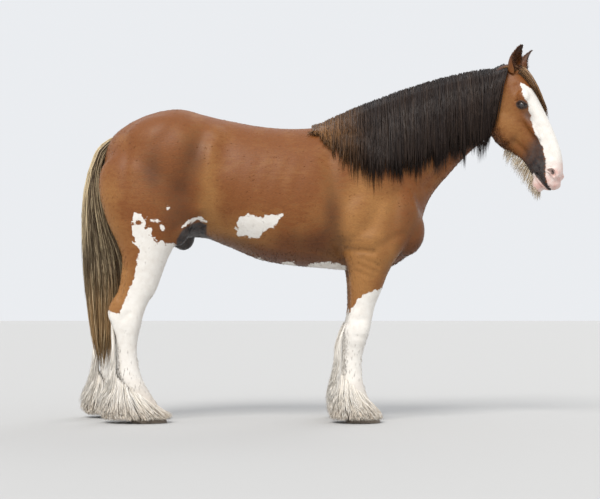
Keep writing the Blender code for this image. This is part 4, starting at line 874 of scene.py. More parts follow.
@dataclass
class Skin:
    """The one skin of head, neck, body and legs, which lies inside the solids by its depth."""

    voxel: float = 0.0065
    soft_rounds: int = 16
    broad_rounds: int = 110
    softness: float = 0.3
    depth: float = 0.002
    eye_depth: float = 0.03
    nostril_at: tuple = (0.012, -0.706)
    nostril_half: tuple = (0.0125, 0.0255)
    nostril_lean: float = math.radians(-24)
    nostril_depth: float = 0.03
    mouth: tuple = ((-0.05, -0.805), (-0.078, -0.668))

    def body_pieces(self) -> list[BMesh]:
        """The closed meshes that the torso, neck and legs are fused from."""
        pieces = [Form(TORSO).loft(64, 8), Form(NECK).loft(64, 8)]
        for side in Side:
            pieces.append(Form(FORE_LEG).loft(36, 6, side, leg_shift(End.FORE, side)))
            pieces.append(Form(HIND_LEG).loft(36, 6, side, leg_shift(End.HIND, side)))
            pieces += swells(MUSCLES, side)
        return pieces

    def head_pieces(self) -> list[BMesh]:
        """The closed meshes that the head is fused from."""
        at = head_frame()
        pieces = [Form(HEAD).loft(48, 6, matrix=at), *swells(LIP_SWELLS, Side.LEFT, at)]
        for side in Side:
            pieces += swells(HEAD_SWELLS, side, at)
        return pieces

    def fuse(self) -> Object:
        """One closed surface round all the pieces."""
        whole = bmesh.new()
        for piece in self.body_pieces() + self.head_pieces():
            bmesh.ops.recalc_face_normals(piece, faces=piece.faces)
            held = bpy.data.meshes.new("held")
            piece.to_mesh(held)
            piece.free()
            whole.from_mesh(held)
            bpy.data.meshes.remove(held)
        bmesh.ops.triangulate(whole, faces=whole.faces)
        obj = closed_object("skin", whole)
        remesh = obj.modifiers.new("Fuse", "REMESH")
        remesh.mode = "VOXEL"
        remesh.voxel_size = self.voxel
        apply_modifiers(obj)
        return obj

    def relax(self, obj: Object, rounds: int, softness: float,
              where: Callable | None = None) -> None:
        """Softens a mesh, every second step pushing back out.

        Args:
            obj: whose mesh is softened.
            rounds: how many pairs of steps.
            softness: how much of each pair stays.
            where: gives each point's share of the softening.
        """
        mesh = obj.data
        co = vertex_array(mesh)
        share = where(co)[:, None] if where else 1.0
        count = len(co)
        ends = np.empty(len(mesh.edges) * 2, int)
        mesh.edges.foreach_get("vertices", ends)
        a, b = ends.reshape(-1, 2).T
        degree = np.bincount(ends, minlength=count)[:, None]
        for step in (0.6, -0.6 * (1 - softness)) * rounds:
            total = np.zeros_like(co)
            for axis in range(3):
                total[:, axis] = np.bincount(a, co[b, axis], count) + np.bincount(b, co[a, axis], count)
            co += share * step * (total / degree - co)
        set_vertices(mesh, co)

    def refine(self, obj: Object, where: Callable) -> None:
        """Splits each face of a region into four. Args: obj: the skin. where: tells which points are in."""
        bm = bmesh.new()
        bm.from_mesh(obj.data)
        inside = where(vertex_array(obj.data))
        bm.verts.index_update()
        edges = [e for e in bm.edges if inside[e.verts[0].index] and inside[e.verts[1].index]]
        bmesh.ops.subdivide_edges(bm, edges=edges, cuts=1, use_grid_fill=True)
        bm.to_mesh(obj.data)
        bm.free()

    def mould(self, mesh: Mesh, touches: list[Touch]) -> None:
        """Presses in or swells the head along short lines, alike on both sides."""
        co, out = vertex_array(mesh), normal_array(mesh)
        here = in_head(co)
        here[:, 1] = np.abs(here[:, 1])
        push = np.zeros(len(co))
        for touch in touches:
            push += touch.rise * bell(line_distance(here, touch.start, touch.end) / touch.reach)
        set_vertices(mesh, co + out * push[:, None])

    def fold(self, mesh: Mesh) -> None:
        """Presses the grooves of the body's sides in and raises its ridges."""
        co, out = vertex_array(mesh), normal_array(mesh)
        at = home(co)
        leg_inner = (at[:, 2] < 0.95) & (at[:, 1] < 0.19)
        push = np.zeros(len(co))
        for line in FOLDS:
            near = bell(line_distance(at[:, [0, 2]], line.start, line.end) / line.reach)
            sideways = ramp(at[:, 1], line.least_y, line.least_y + 0.05) * ramp(np.abs(out[:, 1]), 0.15, 0.5)
            if line.least_y == 0:
                sideways = np.maximum(sideways, leg_inner * 0.8)
            push += line.rise * near * sideways
        croup = line_distance(co, (-1.16, 0, 1.78), (-0.62, 0, 1.81))
        push += -0.008 * bell(croup / 0.045)
        on_head = ramp(past_throat(co), *HEAD_EDGE)
        set_vertices(mesh, co + out * (push * (1 - on_head))[:, None])

    def hollow(self, mesh: Mesh) -> None:
        """Sinks the eye sockets, the nostrils and the line of the mouth."""
        co, out = vertex_array(mesh), normal_array(mesh)
        here = in_head(co)
        on_head = past_throat(co) > 0
        sign = np.sign(here[:, 1])
        aside = np.abs(here[:, 1])
        u, v = turned(here[:, 0] - EYE_AT[0], here[:, 2] - EYE_AT[2], EYE_SLANT)
        within = self.lid_inside(u, v)
        sink = ramp(within, -0.0005, 0.0045) * self.eye_depth * (aside > 0.055) * on_head
        here[:, 1] -= sign * sink
        u, v = turned(here[:, 0] - self.nostril_at[0], here[:, 2] - self.nostril_at[1], self.nostril_lean)
        u = u + 0.01 * (v / self.nostril_half[1]) ** 2 - 0.004
        away = np.sqrt((u / self.nostril_half[0]) ** 2 + (v / self.nostril_half[1]) ** 2)
        side_face = (aside > 0.02) * on_head
        deep = ramp(-away, -1.1, -0.55) * self.nostril_depth * side_face * (here[:, 0] > -0.03)
        rim = 0.005 * bell((away - 1.35) / 0.3) * side_face
        here[:, 1] -= sign * (0.75 * deep - rim)
        here[:, 2] += 0.35 * deep
        here[:, 0] -= 0.25 * deep
        near = line_distance(here[:, [0, 2]], *self.mouth)
        local_out = out @ np.array(head_frame().to_3x3())
        slit = 0.008 * bell(near / 0.003) * on_head * (here[:, 2] < -0.6)
        here -= local_out * slit[:, None]
        set_vertices(mesh, moved(here, head_frame()))

    def lid_inside(self, u: Array, v: Array) -> Array:
        """How far inside the opening between the lids a place is, in metres. Args: u, v: along and across."""
        long, upper, lower = LID_OPENING
        height = np.where(v > 0, upper, lower) * np.clip(1 - (u / long) ** 2, 0, 1) ** 0.75
        return np.where(np.abs(u) < long, height - np.abs(v), -0.01)

    def build(self) -> Object:
        """The skin, softened, moulded and hollowed."""
        obj = self.fuse()
        self.relax(obj, self.soft_rounds, self.softness)
        self.relax(obj, self.broad_rounds, self.softness, broad_parts)
        self.mould(obj.data, HEAD_TOUCHES)
        self.relax(obj, 1, 0.3)
        self.fold(obj.data)
        self.refine(obj, lambda co: past_throat(co) > 0.02)
        self.relax(obj, 2, 0.3, lambda co: ramp(past_throat(co), 0.02, 0.05))
        self.refine(obj, self.near_features)
        self.relax(obj, 2, 0.3, lambda co: self.near_features(co).astype(float))
        self.mould(obj.data, FINE_TOUCHES)
        self.hollow(obj.data)
        mesh = obj.data
        set_vertices(mesh, vertex_array(mesh) - normal_array(mesh) * self.depth)
        return obj

    def near_features(self, co: Array) -> Array:
        """Which points are near an eye, a nostril or the mouth."""
        here = in_head(co)
        here[:, 1] = np.abs(here[:, 1])
        eye = np.linalg.norm(here - np.array(EYE_AT), axis=1) < 0.058
        nostril = np.linalg.norm(here - np.array((0.012, 0.062, -0.706)), axis=1) < 0.046
        mouth = (line_distance(here[:, [0, 2]], *self.mouth) < 0.016) & (here[:, 2] < -0.64)
        return eye | nostril | mouth


def turned(u: Array, v: Array, angle: float) -> tuple[Array, Array]:
    """Head x and z offsets as places along and across a line that slants by an angle."""
    return u * math.cos(angle) - v * math.sin(angle), u * math.sin(angle) + v * math.cos(angle)


def broad_parts(co: Array) -> Array:
    """1 where the body is broad and its muscles run softly into each other, down to 0 elsewhere."""
    above = np.clip((co[:, 2] - 1.02) / 0.16, 0, 1)
    behind = np.clip((THROAT_POINT[0] - 0.1 - co[:, 0]) / 0.12, 0, 1)
    return above * behind


PATCH = 0.003          # width of one tuft's place in its piece's unwrap


@dataclass
class Locks:
    """Flat, tapered locks, each a closed three-sided form that ends in a point.

    Attributes:
        path: points down each lock, as lock, step, xyz.
        out: the way each lock faces, in the same shape.
        wide: each lock's width.
        thick: thickness against width.
        place: where each lock's root stands on an unwrap of the skin, 0 to 1 each way.
        root: how wide a lock is at its root against its middle.
    """

    path: Array
    out: Array
    wide: Array
    place: Array
    thick: float = 0.35
    root: float = 0.6

    def corners(self) -> Array:
        """The corners of every lock: three for each step but the last, then its tip."""
        count, steps = self.path.shape[:2]
        before = np.concatenate([self.path[:, :1], self.path[:, :-2]], 1)
        along = unit(self.path[:, 1:] - before)
        out = self.out[:, :-1]
        across = unit(np.cross(along, out))
        face = np.cross(across, along)
        t = np.arange(steps - 1) / (steps - 1)
        half = self.wide[:, None] / 2 * np.minimum(1, self.root + 1.6 * t) * (1 - t ** 3) ** 0.7
        half = half[..., None]
        deep = half * self.thick
        middle = self.path[:, :-1]
        rings = np.stack([middle + across * half - face * deep, middle + face * deep,
                          middle - across * half - face * deep], 2)
        return np.concatenate([rings.reshape(count, -1, 3), self.path[:, -1:]], 1)

    def build(self, name: str, values: dict[str, Array], shift: Array) -> Object:
        """One mesh of all the locks.

        Args:
            name: of the piece.
            values: three numbers for each lock or corner, by the name a material reads.
            shift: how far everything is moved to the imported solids.

        Returns:
            The piece.
        """
        count, steps = self.path.shape[:2]
        corners = self.corners()
        each = corners.shape[1]
        quads, tris = [], [(0, 1, 2)]
        for step in range(steps - 2):
            for j in range(3):
                k = (j + 1) % 3
                quads.append((3 * step + k, 3 * step + j, 3 * step + 3 + j, 3 * step + 3 + k))
        last = 3 * (steps - 2)
        tris += [(last + (j + 1) % 3, last + j, each - 1) for j in range(3)]
        base = (np.arange(count) * each)[:, None, None]
        loops = np.concatenate([(np.array(quads) + base).reshape(count, -1),
                                (np.array(tris) + base).reshape(count, -1)], 1).ravel()
        sizes = np.tile([4] * len(quads) + [3] * len(tris), count)
        mesh = bpy.data.meshes.new(name)
        mesh.vertices.add(count * each)
        mesh.vertices.foreach_set("co", (corners + shift).ravel())
        mesh.loops.add(len(loops))
        mesh.loops.foreach_set("vertex_index", loops)
        mesh.polygons.add(len(sizes))
        mesh.polygons.foreach_set("loop_start", np.concatenate([[0], np.cumsum(sizes)[:-1]]))
        mesh.update(calc_edges=True)
        mesh.shade_smooth()
        along = np.append(np.repeat(np.arange(steps - 1), 3), steps - 1) / (steps - 1)
        aside = np.append(np.tile([-0.5, 0.0, 0.5], steps - 1), 0.0)
        spots = self.place[:, None, :] + PATCH * np.stack([aside, along - 0.5], 1)
        unwrap = mesh.uv_layers.new(name="OFBake")
        unwrap.data.foreach_set("uv", spots.reshape(-1, 2)[loops].astype(np.float32).ravel())
        for key, rows in values.items():
            if rows.ndim == 2:
                rows = np.repeat(rows[:, None, :], each, 1)
            keep_values(mesh, key, rows.reshape(-1, 3))
        random = np.random.default_rng(count).random(count)[:, None]
        strand = np.stack(np.broadcast_arrays(random, along[None, :], aside[None, :]), -1)
        keep_values(mesh, "strand", strand.reshape(-1, 3))
        return new_object(name, mesh)


def towards(first: Array | Colour, second: Array | Colour, share: Array) -> Array:
    """Rows from first towards second, by a share of each."""
    first = np.asarray(first)
    return first + (np.asarray(second) - first) * share[..., None]


def map_place(u: Array, v: Array) -> Array:
    """Places well within a map, from two shares of 0 to 1."""
    return 0.005 + 0.99 * np.stack([u, v], 1)


def per_corner(rows: Array) -> Array:
    """Values for each step of each lock, as values for its corners."""
    return np.concatenate([np.repeat(rows[:, :-1], 3, 1), rows[:, -1:]], 1)


def grid_value(grid: Array, xs: Array, zs: Array, x: Array, z: Array) -> Array:
    """Values of an even grid at places between its lines."""
    u = np.clip((x - xs[0]) / (xs[1] - xs[0]), 0, len(xs) - 1.001)
    v = np.clip((z - zs[0]) / (zs[1] - zs[0]), 0, len(zs) - 1.001)
    i, j = u.astype(int), v.astype(int)
    u, v = u - i, v - j
    return ((grid[i, j] * (1 - u) + grid[i + 1, j] * u) * (1 - v)
            + (grid[i, j + 1] * (1 - u) + grid[i + 1, j + 1] * u) * v)


def lower_legs(points: Array) -> Array:
    """How near each point is to the ground, where white hair is stained."""
    return ramp(-points[:, 2], -0.3, -0.02)


@dataclass
class Horse:
    """What every piece is built on: the skin, where lines meet it, its markings and the final shift."""

    skin: Object
    surface: Surface
    markings: Markings
    shift: Array

    def tones(self, points: Array) -> dict[str, Array]:
        """The values that the coat's material reads, for points on the animal."""
        m = self.markings
        tone = np.stack([m.white(points), m.dark(points), m.pink(points)], 1)
        shade = np.stack([m.golden(points), m.deep(points), lower_legs(points)], 1)
        return {"tone": tone, "shade": shade, "place": points}

    def settle(self, obj: Object, values: dict[str, Array], finish: object, slot: str,
               *nodes: str) -> Object:
        """Ends a closed piece that was made where the tables put the animal.

        Args:
            obj: the piece.
            values: what its vertices keep for its material, by name.
            finish: its finish.
            slot: not used.
            nodes: the solids that it replaces.

        Returns:
            The piece.
        """
        for key, rows in values.items():
            keep_values(obj.data, key, rows)
        obj.data.transform(Matrix.Translation(self.shift))
        obj.data.shade_smooth()
        return finish_piece(obj, finish, slot, *nodes)


@dataclass
class LongHair:
    """A growth of long locks, made as one piece.

    Its wide is the narrowest and widest lock, and its root a lock's width there against its middle's.
    """

    horse: Horse
    count: int = 1000
    steps: int = 6
    wide: tuple = (0.003, 0.007)
    root: float = 0.5

    def down(self) -> Array:
        """How far down its lock each point is, 0 to 1."""
        return np.linspace(0, 1, self.steps)[None, :]

    def stepped(self, rows: Array) -> Array:
        """One row for each lock, as the same row for each of its steps."""
        return np.repeat(rows[:, None], self.steps, 1)

    def gathered(self, draw: Draw, turn: Array, clump: tuple, pull: float, sway: float) -> Array:
        """How far round its form each point of each lock is, with tips drawn together.

        Args:
            draw: for what is random.
            turn: how far round each root is.
            clump: the angle between clumps, and how loose they are.
            pull: how much of the way to its clump a tip goes.
            sway: how far tips stray.

        Returns:
            The angles, as lock, step.
        """
        gather = np.round(turn / clump[0]) * clump[0] + draw.normal(0, clump[1], self.count)
        t = self.down()
        return turn[:, None] + (gather - turn)[:, None] * pull * t + draw.normal(0, sway, (self.count, 1)) * t

    def piece(self, names: tuple[str, str, str], finish: "HairFinish", locks: Locks,
              tint: Array) -> list[Object]:
        """The locks as one piece.

        Args:
            names: of the piece, its material slot and the solid that it stands for.
            finish: of the hair.
            locks: all of them.
            tint: the colour of each lock, or of each of its corners.

        Returns:
            The piece, in a list.
        """
        name, slot, node = names
        return [finish_piece(locks.build(name, {"tint": tint}, self.horse.shift), finish, slot, node)]


@dataclass
class Mane(LongHair):
    """The long hair of the crest, which falls straight down the right of the neck.

    Attributes:
        lift: how far the innermost and outermost locks lie off the neck.
        clump: distance between the places that tips gather at.
        first: where along the crest it starts, and last where it ends.
        reach: least and most share of the full length.
        front_back: how far back the hair at the poll is swept.
    """

    count: int = 5200
    steps: int = 7
    wide: tuple = (0.0035, 0.008)
    root: float = 0.45
    lift: tuple = (0.004, 0.034)
    clump: float = 0.03
    first: float = -0.055
    last: float = 1.108
    reach: tuple = (0.76, 1.08)
    roots_y: tuple = (-0.02, 0.034)
    front_back: float = 0.075

    def maps(self) -> tuple[Array, Array, Array, Array]:
        """The crest's height along the neck, and how far out the neck's right side is over x and z."""
        xs = np.linspace(self.first - 0.01, self.last + 0.02, 64)
        zs = np.linspace(1.36, 2.14, 56)
        above = np.stack([xs, np.zeros_like(xs), np.full_like(xs, 3.0)], 1)
        crest = self.horse.surface.meets(above, (0, 0, -1))[:, 2]
        gx, gz = np.meshgrid(xs, zs, indexing="ij")
        starts = np.stack([gx, np.full_like(gx, -1.0), gz], -1)
        side = self.horse.surface.meets(starts, (0, 1, 0), 0.0)[..., 1]
        return xs, zs, crest, np.where(side > 0.05, 0.0, side)

    def paths(self, draw: Draw, lift: Array, root_y: Array) -> Array:
        """Points down each lock.

        Args:
            draw: for the random sizes.
            lift: how far each lock lies off the neck.
            root_y: where each root stands across the crest.

        Returns:
            The points, as lock, step, xyz.
        """
        n = self.count
        xs, zs, crest_at, side = self.maps()
        x0 = np.sort(draw.uniform(self.first, self.last, n))
        gather = (np.floor(x0 / self.clump + 0.35 * np.sin(x0 * 31)) + 0.5) * self.clump
        gather = gather + draw.normal(0, 0.005, n)
        full = draw.uniform(*self.reach, n) * (1 + 0.05 * np.sin(x0 * 47) + 0.04 * np.sin(x0 * 113))
        full = full * (1 + 0.6 * ramp(-x0, -0.5, -0.12) * draw.random(n) ** 2)
        crest = np.interp(x0, xs, crest_at)
        bottom = crest + (np.interp(x0, *zip(*MANE_ENDS)) - crest) * full
        t = np.linspace(0, 1, self.steps - 2)[None, :]
        pull = 0.62 * t ** 1.3 * draw.uniform(0.5, 1.0, (n, 1))
        sway = draw.normal(0, 0.01, (n, 1)) * t + draw.normal(0, 0.006, (n, 1)) * np.sin(math.pi * t)
        x = x0[:, None] + (gather - x0)[:, None] * pull + sway
        x = x - self.front_back * ramp(x0, 0.98, 1.09)[:, None] * t ** 0.6
        z = (crest - 0.04)[:, None] + (bottom - crest + 0.04)[:, None] * t
        y_skin = grid_value(side, xs, zs, x, z)
        y = np.empty_like(x)
        y[:, 0] = np.minimum(y_skin[:, 0], -0.04)
        for j in range(1, y.shape[1]):
            y[:, j] = np.minimum(y_skin[:, j], y[:, j - 1] + 0.02)
        points = np.stack([x, y - lift[:, None] * (1 - 0.35 * t ** 3), z], -1)
        root = np.stack([x0, root_y, crest - 0.012 + 0.3 * (lift - 0.01)], 1)
        over = np.stack([x0, -0.022 - 0.3 * lift, crest + 0.4 * lift - 0.002 + 0.35 * root_y.clip(0)], 1)
        return np.concatenate([root[:, None], over[:, None], points], 1)

    def tint(self, draw: Draw, path: Array) -> Array:
        """The colour of every corner: dark, with grey-brown hairs, golden at the withers."""
        n, x0 = self.count, path[:, 0, 0]
        clumps = 0.5 + 0.5 * np.sin(x0 * 70 + 2 * np.sin(x0 * 23))
        light = np.clip(draw.random(n) ** 2.2 * 0.75 + 0.25 * clumps - 0.08, 0, 1)
        withers = ramp(-x0, -0.3, -0.02) * draw.uniform(0.2, 1.0, n)
        colour = towards(towards(MANE_DARK, MANE_LIGHT, light), BAY_GOLD, withers * 0.85)
        tipped = 0.45 * self.down() ** 2 * draw.random((n, 1))
        return per_corner(towards(self.stepped(colour), MANE_TIP, tipped))

    def build(self) -> list[Object]:
        """The mane as one piece that stands for the solid."""
        draw = np.random.default_rng(11)
        lift = self.lift[0] + (self.lift[1] - self.lift[0]) * draw.random(self.count)
        root_y = draw.uniform(*self.roots_y, self.count)
        path = self.paths(draw, lift, root_y)
        out = np.zeros_like(path)
        out[..., 1] = -1.0
        out[:, 0] = (0, -0.3, 1)
        out[:, 1] = (0, -0.6, 0.8)
        out += draw.normal(0, 0.28, (self.count, 1, 3))
        along = (path[:, 0, 0] - self.first) / (self.last - self.first)
        place = map_place(along, draw.random(self.count))
        locks = Locks(path, unit(out), draw.uniform(*self.wide, self.count), place, root=self.root)
        return self.piece(("mane_hair", "mane_hair", "mane"), LONG_DARK, locks, self.tint(draw, path))


@dataclass
class Forelock(LongHair):
    """The hair between the ears, which falls down the face.

    Its roots_y is where the first root stands, and how far aside of it the last.
    """

    count: int = 1700
    steps: int = 7
    length: float = 0.45
    lift: tuple = (0.002, 0.034)
    roots_y: tuple = (-0.08, 0.1)

    def build(self) -> list[Object]:
        """The forelock as one piece that stands for the solid."""
        draw = np.random.default_rng(12)
        n, t, at = self.count, self.down(), head_frame()
        ys, zs = np.linspace(-0.09, 0.12, 36), np.linspace(-0.5, 0.03, 48)
        gy, gz = np.meshgrid(ys, zs, indexing="ij")
        starts = moved(np.stack([np.full(gy.size, 0.5), gy.ravel(), gz.ravel()], 1), at)
        front = in_head(self.horse.surface.meets(starts, tuple(way_of(at, -1, 0, 0))))[:, 0].reshape(gy.shape)
        front = np.where(np.isnan(front) | (front < 0.0), 0.0, front)
        share = draw.random(n)
        length = self.length * draw.uniform(0.5, 1.0, n) * (0.45 + 0.55 * share)
        y = (self.roots_y[0] + self.roots_y[1] * share)[:, None] + (0.056 + 0.026 * share)[:, None] * t ** 0.9
        y = y + draw.normal(0, 0.005, (n, 1)) * t
        z = -0.01 + draw.uniform(-0.02, 0.012, (n, 1)) - length[:, None] * t
        x = grid_value(front, ys, zs, np.clip(y, -0.09, 0.078), np.clip(z, -0.5, 0.02))
        lift = draw.uniform(*self.lift, (n, 1)) * np.minimum(1, 0.2 + 4 * t) * (1 - 0.3 * t)
        path = moved(np.stack([x + lift, y, z], -1), at)
        out = unit(np.broadcast_to(way_of(at, 1, 0.35, 0) + draw.normal(0, 0.2, (n, 1, 3)), path.shape))
        colour = self.stepped(towards(MANE_DARK, FORELOCK_GOLD, draw.random(n) ** 1.3))
        colour = towards(colour, FORELOCK_TIP, 0.5 * t * np.ones_like(x))
        place = map_place(share, draw.random(n))
        locks = Locks(path, out, draw.uniform(*self.wide, n), place, root=self.root)
        return self.piece(("forelock_hair", "mane_hair", "forelock"), LONG_DARK, locks, per_corner(colour))


@dataclass
class Tail(LongHair):
    """The tail: pale over its upper rear, dark brown below, ending above the fetlocks.

    Its depth is how far out the outermost locks lie, and how much further in the innermost. Its wisp is
    how far below the rest the lowest tips hang.
    """

    count: int = 4300
    steps: int = 8
    wide: tuple = (0.004, 0.009)
    root: float = 0.45
    roots: float = 0.5
    depth: tuple = (1.04, 0.6)
    clump: tuple = (0.42, 0.08)
    wisp: float = 0.13

    def tint(self, draw: Draw, path: Array, angle: Array) -> Array:
        """The colour of every corner. Args: draw: its chances. path: the locks. angle: how far round."""
        n = self.count
        rear = ramp(-np.cos(angle), 0.1, 0.8)
        high = ramp(path[..., 2], 0.95, 1.4)
        light = np.clip(1.15 * rear * high * draw.uniform(0.4, 1.1, (n, 1))
                        + 0.8 * draw.random((n, 1)) ** 2.2 + 0.12 * np.sin(angle * 15), 0, 1)
        colour = towards(TAIL_DARK, TAIL_CREAM, light)
        low = ramp(-path[..., 2], -0.95, -0.6)[..., None] * (0.35 + 0.5 * draw.random((n, 1, 1)))
        return per_corner(colour * (1 - low) + np.array(TAIL_LOW) * low)

    def build(self) -> list[Object]:
        """The tail as one piece that stands for the solid."""
        draw = np.random.default_rng(13)
        n, t, form = self.count, self.down(), Form(TAIL)
        start = draw.random(n) ** 1.6 * self.roots
        end = np.minimum(start + draw.uniform(0.38, 0.72, n), draw.uniform(0.9, 1.0, n))
        turn = math.pi + math.pi * draw.uniform(-1, 1, n)
        angle = self.gathered(draw, turn, self.clump, 0.8, 0.12)
        depth = self.depth[0] - self.depth[1] * draw.random(n) ** 2
        waves = 1 + 0.03 * np.sin(9 * t + draw.uniform(0, 6, (n, 1)))
        spread = (0.25 + 0.75 * t ** 0.5) * depth[:, None] * waves * (1 + 0.45 * np.cos(angle).clip(0))
        share = start[:, None] + (end - start)[:, None] * t
        path = form.at(share, angle, spread)
        path[..., 1] += draw.normal(0, 0.006, (n, 1)) * np.sin(math.pi * t)
        path[..., 0] += 0.006 * np.sin(8 * t + draw.uniform(0, math.tau, (n, 1))) * t
        path[..., 2] -= self.wisp * draw.random((n, 1)) ** 1.5 * t ** 2 * ramp(end, 0.8, 0.98)[:, None]
        out = unit(path - form.at(share, angle, 0.0) + draw.normal(0, 0.01, (n, 1, 3)))
        tint = self.tint(draw, path, angle)
        place = map_place((turn / math.tau) % 1, start / self.roots)
        locks = Locks(path, out, draw.uniform(*self.wide, n), place, root=self.root)
        return self.piece(("tail_hair", "tail_hair", "tail"), LONG_PALE, locks, tint)


@dataclass
class Feather(LongHair):
    """The long white hair of one lower leg, which hides the hoof.

    Its roots reach that far down it, its locks lie between the two depths, and rear is half the angle
    that its upper part grows over, behind the leg.
    """

    end: End = End.FORE
    side: Side = Side.RIGHT
    count: int = 3200
    wide: tuple = (0.0042, 0.0084)
    roots: float = 0.86
    depth: tuple = (0.8, 1.08)
    clump: tuple = (0.3, 0.05)
    rear: float = 0.75

    def build(self) -> list[Object]:
        """The feather as one piece that stands for the solid."""
        draw = np.random.default_rng(20 + 2 * (self.end is End.HIND) + (self.side is Side.LEFT))
        n, t = self.count, self.down()
        form = Form(FORE_FEATHER if self.end is End.FORE else HIND_FEATHER)
        start = np.sort(draw.random(n) ** 0.62 * self.roots)
        around = self.rear + (math.pi - self.rear) * ramp(start, 0.4, 0.66)
        turn = math.pi + around * draw.uniform(-1, 1, n)
        length = draw.uniform(0.24, 0.46, n) * (1 - 0.25 * start)
        end = np.minimum(start + length, draw.uniform(0.955, 1.0, n))
        angle = self.gathered(draw, turn, self.clump, 0.75, 0.06)
        depth = draw.uniform(*self.depth, n)[:, None]
        spread = (0.6 + (depth - 0.6) * t ** 0.8) * (1 + 0.035 * np.sin(7 * t + draw.uniform(0, 6, (n, 1))))
        share = start[:, None] + (end - start)[:, None] * t
        path = form.at(share, angle, spread)
        out = unit(path - form.at(share, angle, 0.0) + np.array((0, 0, 0.02)))
        if self.side is Side.RIGHT:
            path[..., 1] *= -1
            out[..., 1] *= -1
        path = path + leg_shift(self.end, self.side)(path)
        path[..., 2] = np.maximum(path[..., 2], 0.004)
        colour = self.stepped(towards(FEATHER_WHITE, FEATHER_CREAM, draw.random(n)))
        stain = ramp(-path[..., 2], -0.16, -0.01) * (0.15 + 0.55 * draw.random((n, 1)))
        colour = towards(colour, FEATHER_STAIN, stain)
        place = map_place((turn / math.tau) % 1, start / self.roots)
        locks = Locks(path, unit(out + draw.normal(0, 0.15, (n, 1, 3))), draw.uniform(*self.wide, n), place,
                      root=self.root)
        name = f"{self.end.value}_{self.side.word}"
        return self.piece((f"feather_hair_{name}", "feather_hair", f"feather_{name}"), LONG_WHITE, locks,
                          per_corner(colour))


@dataclass
class Beard(LongHair):
    """Long pale hair under the jaw and chin, with tips that droop."""

    count: int = 620
    wide: tuple = (0.0014, 0.003)
    root: float = 0.8
    thick: float = 0.014
    droop: float = 0.035

    def build(self) -> list[Object]:
        """The beard as one piece that stands for the solid."""
        draw = np.random.default_rng(31)
        n, t, at = self.count, self.down(), head_frame()
        rows = Form(BEARD).rows(8)
        share = draw.random(n) * (len(rows) - 1.001)
        low = share.astype(int)
        row = rows[low] + (rows[low + 1] - rows[low]) * (share - low)[:, None]
        y = draw.normal(0, self.thick, n)
        k = 0.2 + (draw.uniform(0.55, 1.05, n)[:, None] - 0.2) * t
        x = row[:, 0:1] + (row[:, 2] - row[:, 0])[:, None] * k
        z = row[:, 1:2] + (row[:, 3] - row[:, 1])[:, None] * k
        z = z - self.droop * k ** 2 * draw.uniform(0.3, 1.3, (n, 1))
        sideways = y[:, None] * (1 + 0.5 * t) + draw.normal(0, 0.006, (n, 1)) * t
        path = moved(np.stack([x, sideways, z], -1), at)
        out = unit(np.broadcast_to(way_of(at, 0, 1, 0) + draw.normal(0, 0.4, (n, 1, 3)), path.shape))
        colour = towards(BEARD_PALE, BEARD_BROWN, draw.random(n) ** 1.3)
        place = map_place(share / len(rows), draw.random(n))
        locks = Locks(path, out, draw.uniform(*self.wide, n), place, root=self.root)
        return self.piece(("beard_hair", "beard_hair", "beard"), LONG_WHITE, locks, colour)


